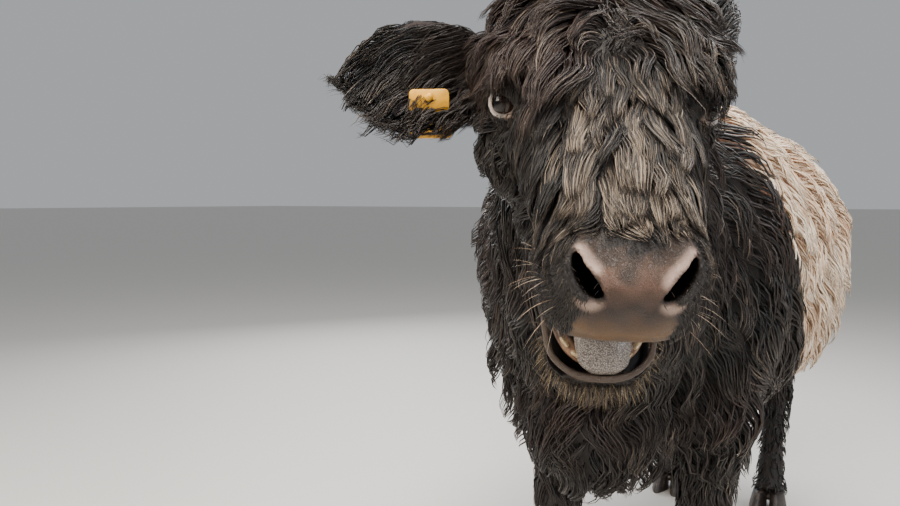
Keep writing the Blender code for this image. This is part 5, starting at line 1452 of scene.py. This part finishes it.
rightSide = 1 - smoothStep(-0.004, 0.004, headY)
cheekSkin = (1 - upperFace) * awayFromEye * (1 - smoothStep(0.165, 0.190, headX))
notPale = 1 - smoothStep(0.05, 0.3, grounds["head"]["marks"]["pale"])
wholeEar = {side: np.ones(len(grounds[side]["corners"])) for side in ("earRight", "earLeft")}
usual = dict(ground="body", stations=7, together=0.05, droop=0.20, stray=0.10, clump=0.80, warm=0.35)
coat = {
    # counts of locks; lengths, widths, heights over the skin and wave sizes in metres
    "forelock": usual | dict(
        ground="head", count=4300, stations=9,
        density=(1 - smoothStep(-0.006, 0.010, headX)) * upperFace * awayFromEye,
        length=0.125, width=0.0024, lift=0.034, wave=0.0075, waveLength=0.095, together=0.09, droop=0.26,
        clump=0.88, perClump=26, tint=(0.16, 0.36), warm=0.4,
    ),
    # the bridge's higher tint is in part a painted highlight on the top of the face
    "bridge": usual | dict(
        ground="head", count=5700,
        density=faceBand(-0.010, 0.004, 0.232, 0.246) * upperFace * awayFromEye,
        length=0.085, width=0.0017, lift=0.012, wave=0.0036, waveLength=0.075, together=0.1, droop=0.08,
        stray=0.05, clump=0.84, perClump=30, tint=(0.26, 0.38), warm=0.08,
    ),
    # the cheeks' low tint is painted shade on the sides of the face
    "cheekRight": usual | dict(
        ground="head", count=5500,
        density=cheekSkin * rightSide,
        length=0.06, width=0.0021, lift=0.016, wave=0.0068, waveLength=0.06, droop=0.18, stray=0.12,
        clump=0.86, perClump=26, tint=(0.04, 0.26), warm=0.25,
    ),
    "cheekLeft": usual | dict(
        ground="head", count=3000,
        density=cheekSkin * (1 - rightSide),
        length=0.06, width=0.0028, lift=0.016, wave=0.0068, waveLength=0.06, droop=0.18, stray=0.12,
        clump=0.85, perClump=16, tint=(0.04, 0.26), warm=0.25,
    ),
    "muzzleSides": usual | dict(
        ground="head", count=5000, stations=4,
        density=notPale * (
            smoothStep(0.150, 0.185, headX) * (1 - upperFace)
            + 0.8 * smoothStep(0.21, 0.235, headX) * upperFace
        ),
        length=0.0068, width=0.0007, lift=0.0010, wave=0.0004, waveLength=0.02, together=0.03, droop=0.05,
        stray=0.14, clump=0.25, perClump=8, tint=(0.20, 0.30), warm=0.10,
    ),
    "aroundEyes": usual | dict(
        ground="head", count=3000, stations=4,
        density=(1 - smoothStep(0.040, 0.050, eyeGap)) * smoothStep(0.0200, 0.0225, eyeGap),
        length=0.014, width=0.0012, lift=0.0026, wave=0.0005, waveLength=0.02, together=0.03, droop=0.02,
        stray=0.12, clump=0.3, perClump=8, tint=(0.24, 0.25), warm=0.25,
    ),
    # the neck's low tint is painted shade on the neck
    "neck": usual | dict(
        unwrap="trunk", count=4200, stations=9,
        density=(1 - smoothStep(-0.60, -0.50, bodyY)) * trunkSkin * (0.7 + 1.3 * inView),
        length=0.105, width=0.0036, lift=0.034, wave=0.01, waveLength=0.085, droop=0.22, stray=0.12,
        clump=0.86, perClump=20, tint=(0.05, 0.30), warm=0.40,
    ),
    "shoulders": usual | dict(
        unwrap="trunk", count=3300,
        density=bodyBand(-0.60, -0.50, -0.20, -0.08) * trunkSkin,
        length=0.115, width=0.0062, lift=0.036, wave=0.01, waveLength=0.11, together=0.07, clump=0.84,
        perClump=14, tint=(0.10, 0.28), warm=0.40,
    ),
    "barrel": usual | dict(
        unwrap="trunk", count=4300, stations=6,
        density=bodyBand(-0.20, -0.08, 0.30, 0.40) * trunkSkin * (1 + 0.5 * (bodyX > 0)),
        length=0.115, width=0.0062, lift=0.036, wave=0.0095, waveLength=0.11, together=0.07, perClump=12,
        tint=(0.20, 0.26),
    ),
    "rump": usual | dict(
        unwrap="trunk", count=2100,
        density=smoothStep(0.30, 0.40, bodyY) * trunkSkin,
        length=0.110, width=0.0092, lift=0.034, wave=0.009, waveLength=0.11, together=0.07, perClump=9,
        tint=(0.08, 0.25),
    ),
    "legs": usual | dict(
        unwrap="leg", count=3400, stations=5,
        density=legSkin * (bodyZ > 0.060) * hairless,
        length=0.06, width=0.005, lift=0.015, wave=0.0045, waveLength=0.06, droop=0.15, clump=0.6,
        perClump=8, tint=(0.08, 0.22),
    ),
    "tail": usual | dict(
        unwrap="tail", count=800,
        density=tailSkin * (0.35 + 1.5 * (bodyZ < 0.60)),
        length=0.10, width=0.0050, lift=0.010, wave=0.0060, waveLength=0.060, droop=0.45, stray=0.06,
        clump=0.6, perClump=9, tint=(0.22, 0.20), warm=0.40,
    ),
    "earRight": usual | dict(
        ground="earRight", count=1900,
        density=wholeEar["earRight"],
        length=0.09, width=0.0019, lift=0.012, wave=0.0030, waveLength=0.085, droop=0.5, stray=0.14,
        perClump=18, tint=(0.12, 0.28),
    ),
    "earLeft": usual | dict(
        ground="earLeft", count=1500,
        density=wholeEar["earLeft"],
        length=0.075, width=0.0026, lift=0.012, wave=0.0030, waveLength=0.085, droop=0.30, stray=0.14,
        perClump=16, tint=(0.12, 0.28),
    ),
}


def lengthShare(name, roots):
    # how long the hair is at each root, next to its region's length
    if name == "bridge":
        x = transformed(roots, headInverse)[:, 0]
        return 1.05 - 0.72 * smoothStep(0.145, 0.225, x)
    if name.startswith("cheek"):
        return 1.1 - 0.80 * smoothStep(0.08, 0.18, transformed(roots, headInverse)[:, 0])
    if name == "forelock":
        local = transformed(roots, headInverse)
        gap = np.hypot(local[:, 0] - whorl[0] + 0.02, local[:, 1] - whorl[1])
        aside = np.abs(local[:, 1])
        return (0.45 + 0.65 * smoothStep(0.015, 0.060, gap)) * (1 - 0.52 * smoothStep(0.060, 0.095, aside))
    if name == "legs":
        return 1.25 - 0.75 * (1 - smoothStep(0.10, 0.42, roots[:, 2])) + 0.35 * (roots[:, 2] < 0.10)
    if name == "tail":
        return 0.5 + 1.9 * (1 - smoothStep(0.50, 0.62, roots[:, 2]))
    return np.ones(len(roots))


cameraLocal = headInverse @ (camera.location - moved)
clearEye = {"radius": 0.015, "shortHairRadius": 0.0105, "from": 0.004, "to": 0.12}


def shownShare(paths, radius):
    # how much of each lock stays, so that none hangs over an eye
    count, stations = paths.shape[:2]
    first = np.full(count, stations)
    for side in (-1, 1):
        local = transformed(paths.reshape(-1, 3), headInverse).reshape(paths.shape) - eyeCentres[side]
        for way in (eyeLooks[side], cameraLocal - Vector(eyeCentres[side])):
            way = np.array(way.normalized())
            ahead = local @ way
            across = np.linalg.norm(local - ahead[..., None] * way, axis=2)
            inWay = (ahead > clearEye["from"]) & (ahead < clearEye["to"]) & (across < radius)
            first = np.minimum(first, np.where(inWay.any(1), inWay.argmax(1), stations))
    return first / stations


def cutShort(paths, share):
    stations = paths.shape[1]
    place = np.linspace(0, 1, stations)[None, :] * share[:, None] * (stations - 1)
    low = np.minimum(place.astype(int), stations - 2)
    rest = (place - low)[:, :, None]
    row = np.arange(len(paths))[:, None]
    return paths[row, low] * (1 - rest) + paths[row, low + 1] * rest


lies = {"body": lieOnBody, "head": lieOnHead, "earRight": lieOnEar(-1), "earLeft": lieOnEar(1)}
locksMade = 0
for seed, (name, kind) in enumerate(coat.items()):
    ground = grounds[kind["ground"]]
    count = kind["count"]
    roots, normals = scatter(ground, kind["density"], count, 100 + seed)
    other = {"head": "body", "body": "head"}.get(kind["ground"])
    if other:
        free = outsideOf(grounds[other]["tree"], roots, -0.002)
        roots, normals = roots[free], normals[free]
    share = lengthShare(name, roots)
    traits = dict(kind)
    traits["length"] = kind["length"] * share
    traits["lift"] = kind["lift"] * np.minimum(share, 1)
    paths, ups, leaders = growLocks(
        ground, roots, normals, lies[kind["ground"]], traits, kind["stations"], 200 + seed
    )
    if kind["ground"] != "body":
        short = name == "aroundEyes"
        shown = shownShare(paths, clearEye["shortHairRadius" if short else "radius"])
        keep = shown > (0.99 if short else 0.0)
        paths, ups = cutShort(paths, np.maximum(shown, 0.25))[keep], ups[keep]
        leaders = np.searchsorted(np.flatnonzero(keep), leaders[keep]).clip(0, keep.sum() - 1)
        roots, share = roots[keep], (share * np.clip(0.4 + 0.6 * shown, 0, 1))[keep]
    rng = np.random.default_rng(400 + seed)
    middle, spread = kind["tint"]
    tint = 0.55 * rng.normal(0, 1, len(roots))
    tint = middle + spread * (tint + 0.30 * rng.normal(0, 1, len(roots))[leaders])
    if name == "bridge":  # painted highlight, brightest towards the nose and along the middle, and painted shade towards its sides
        place = transformed(roots, headInverse)
        aside = np.abs(place[:, 1] - 0.006)
        tint = tint + 0.26 * smoothStep(0.03, 0.17, place[:, 0]) - 0.30 * smoothStep(0.035, 0.075, aside)
    warm = 0.5 + 0.8 * wobble(roots, 0.20, 61) + 0.3 * rng.normal(0, 1, len(roots))
    warm = np.clip(kind["warm"] * warm, 0, 1)
    width = kind["width"] * rng.uniform(0.6, 1.25, len(roots)) * np.clip(0.6 + 0.5 * share, 0.5, 1.15)
    places = unwrapped(kind.get("unwrap", kind["ground"]), roots)
    white = np.zeros(len(roots), bool)
    if kind["ground"] == "body":
        white = beltShare(roots) > rng.uniform(0.2, 0.8, len(roots))
    for label, chosen, material, slot in (
        ("", ~white, blackHair, "black_coat"), ("White", white, whiteHair, "white_coat"),
    ):
        if chosen.sum() < 3:
            continue
        tints = (np.clip(tint[chosen] + (0.15 if label else 0), 0, 1), warm[chosen])
        pieceName = "coat" + name[0].upper() + name[1:] + label
        own = (part[chosen] for part in (paths, ups, width, places))
        finishPiece(lockMesh(pieceName, *own, tints, 500 + seed), material)
        locksMade += int(chosen.sum())
    print("coat:", name, len(roots), "locks")
print("coat done:", locksMade, "locks")

# single stiff hairs: bristles under the lower lip, whiskers beside the nose, and lashes

stiffHair = {
    "bristles": {"count": 520, "length": 0.024, "width": 0.00085},
    "whiskers": {"count": 40, "length": 0.034, "width": 0.00042},
    "lashes": {"count": 34, "length": 0.017, "width": 0.0007, "seat": (0.0165, 0.0150, 0.0110)},
}


def freeHairs(roots, ways, length, bend, stations):
    # hairs that leave the skin and bend towards the floor
    t = np.linspace(0, 1, stations)[None, :, None]
    paths = roots[:, None, :] + unit(ways)[:, None, :] * length[:, None, None] * t
    paths = paths + downWay * (bend * length)[:, None, None] * t**2
    ups = np.repeat(unit(np.cross(ways, downWay) + 1e-6)[:, None, :], stations, 1)
    return paths, ups


jawLocal = transformed(headLocal, jawInHead.inverted())
rimGap = gapTo(lipCurve, jawLocal, 60)
underLip = smoothStep(0.0060, 0.0080, rimGap) * (1 - smoothStep(0.020, 0.034, rimGap))
underLip *= (jawLocal[:, 2] < -0.0755) * smoothStep(0.19, 0.23, jawLocal[:, 0])
besideNose = smoothStep(0.185, 0.205, headX) * (np.abs(headY) > 0.055) * (headZ < -0.028) * (headZ > -0.066)
for seed, (name, density, material, slot) in enumerate((
    ("bristles", underLip, goldHair, "nose_skin"), ("whiskers", besideNose, whiteHair, "nose_skin"),
)):
    kind = stiffHair[name]
    rng = np.random.default_rng(700 + seed)
    roots, normals = scatter(grounds["head"], density, kind["count"], 710 + seed)
    length = kind["length"] * rng.uniform(0.45, 1.15, len(roots))
    ways = normals * 0.9 + rng.normal(0, 0.30, normals.shape)
    if name == "bristles":
        ways = ways + 0.35 * downWay
    paths, ups = freeHairs(roots - normals * 0.001, ways, length, rng.uniform(0.1, 0.5, len(roots)), 5)
    tints = (np.clip(rng.normal(0.35, 0.25, len(roots)), 0, 1), rng.uniform(0, 0.3, len(roots)))
    width = kind["width"] * rng.uniform(0.6, 1.2, len(roots))
    places = unwrapped("head", roots)
    finishPiece(lockMesh(name, paths, ups, width, places, tints, 720 + seed), material)
rng = np.random.default_rng(730)
lashRoots, lashWays = [], []
for side in (-1, 1):
    eye = Vector(eyeCentres[side])
    look = eyeLooks[side]
    level = (Vector((1, 0, 0)) - look * look.x).normalized()
    above = level.cross(look) if level.cross(look).z > 0 else look.cross(level)
    for step in range(stiffHair["lashes"]["count"]):
        angle = math.radians(12 + 156 * (step + rng.uniform(-0.4, 0.4)) / stiffHair["lashes"]["count"])
        forward, wide, tall = stiffHair["lashes"]["seat"]
        spot = eye + look * forward + level * wide * math.cos(angle) + above * tall * math.sin(angle)
        way = look * 0.75 + above * (0.45 * math.sin(angle) + 0.15) + level * 0.35 * math.cos(angle)
        lashRoots.append(headMatrix @ spot)
        lashWays.append(headMatrix.to_3x3() @ way)
lashRoots, lashWays = np.array(lashRoots), np.array(lashWays) + rng.normal(0, 0.06, (len(lashRoots), 3))
lashLength = stiffHair["lashes"]["length"] * rng.uniform(0.6, 1.1, len(lashRoots))
paths, ups = freeHairs(lashRoots, lashWays, lashLength, rng.uniform(0.25, 0.5, len(lashRoots)), 6)
tints = (rng.uniform(0.1, 0.5, len(lashRoots)), np.zeros(len(lashRoots)))
lashWidth = np.full(len(lashRoots), stiffHair["lashes"]["width"])
lashes = lockMesh("lashes", paths, ups, lashWidth, unwrapped("head", lashRoots), tints, 731)
finishPiece(lashes, blackHair)
print("bristles, whiskers and lashes made")
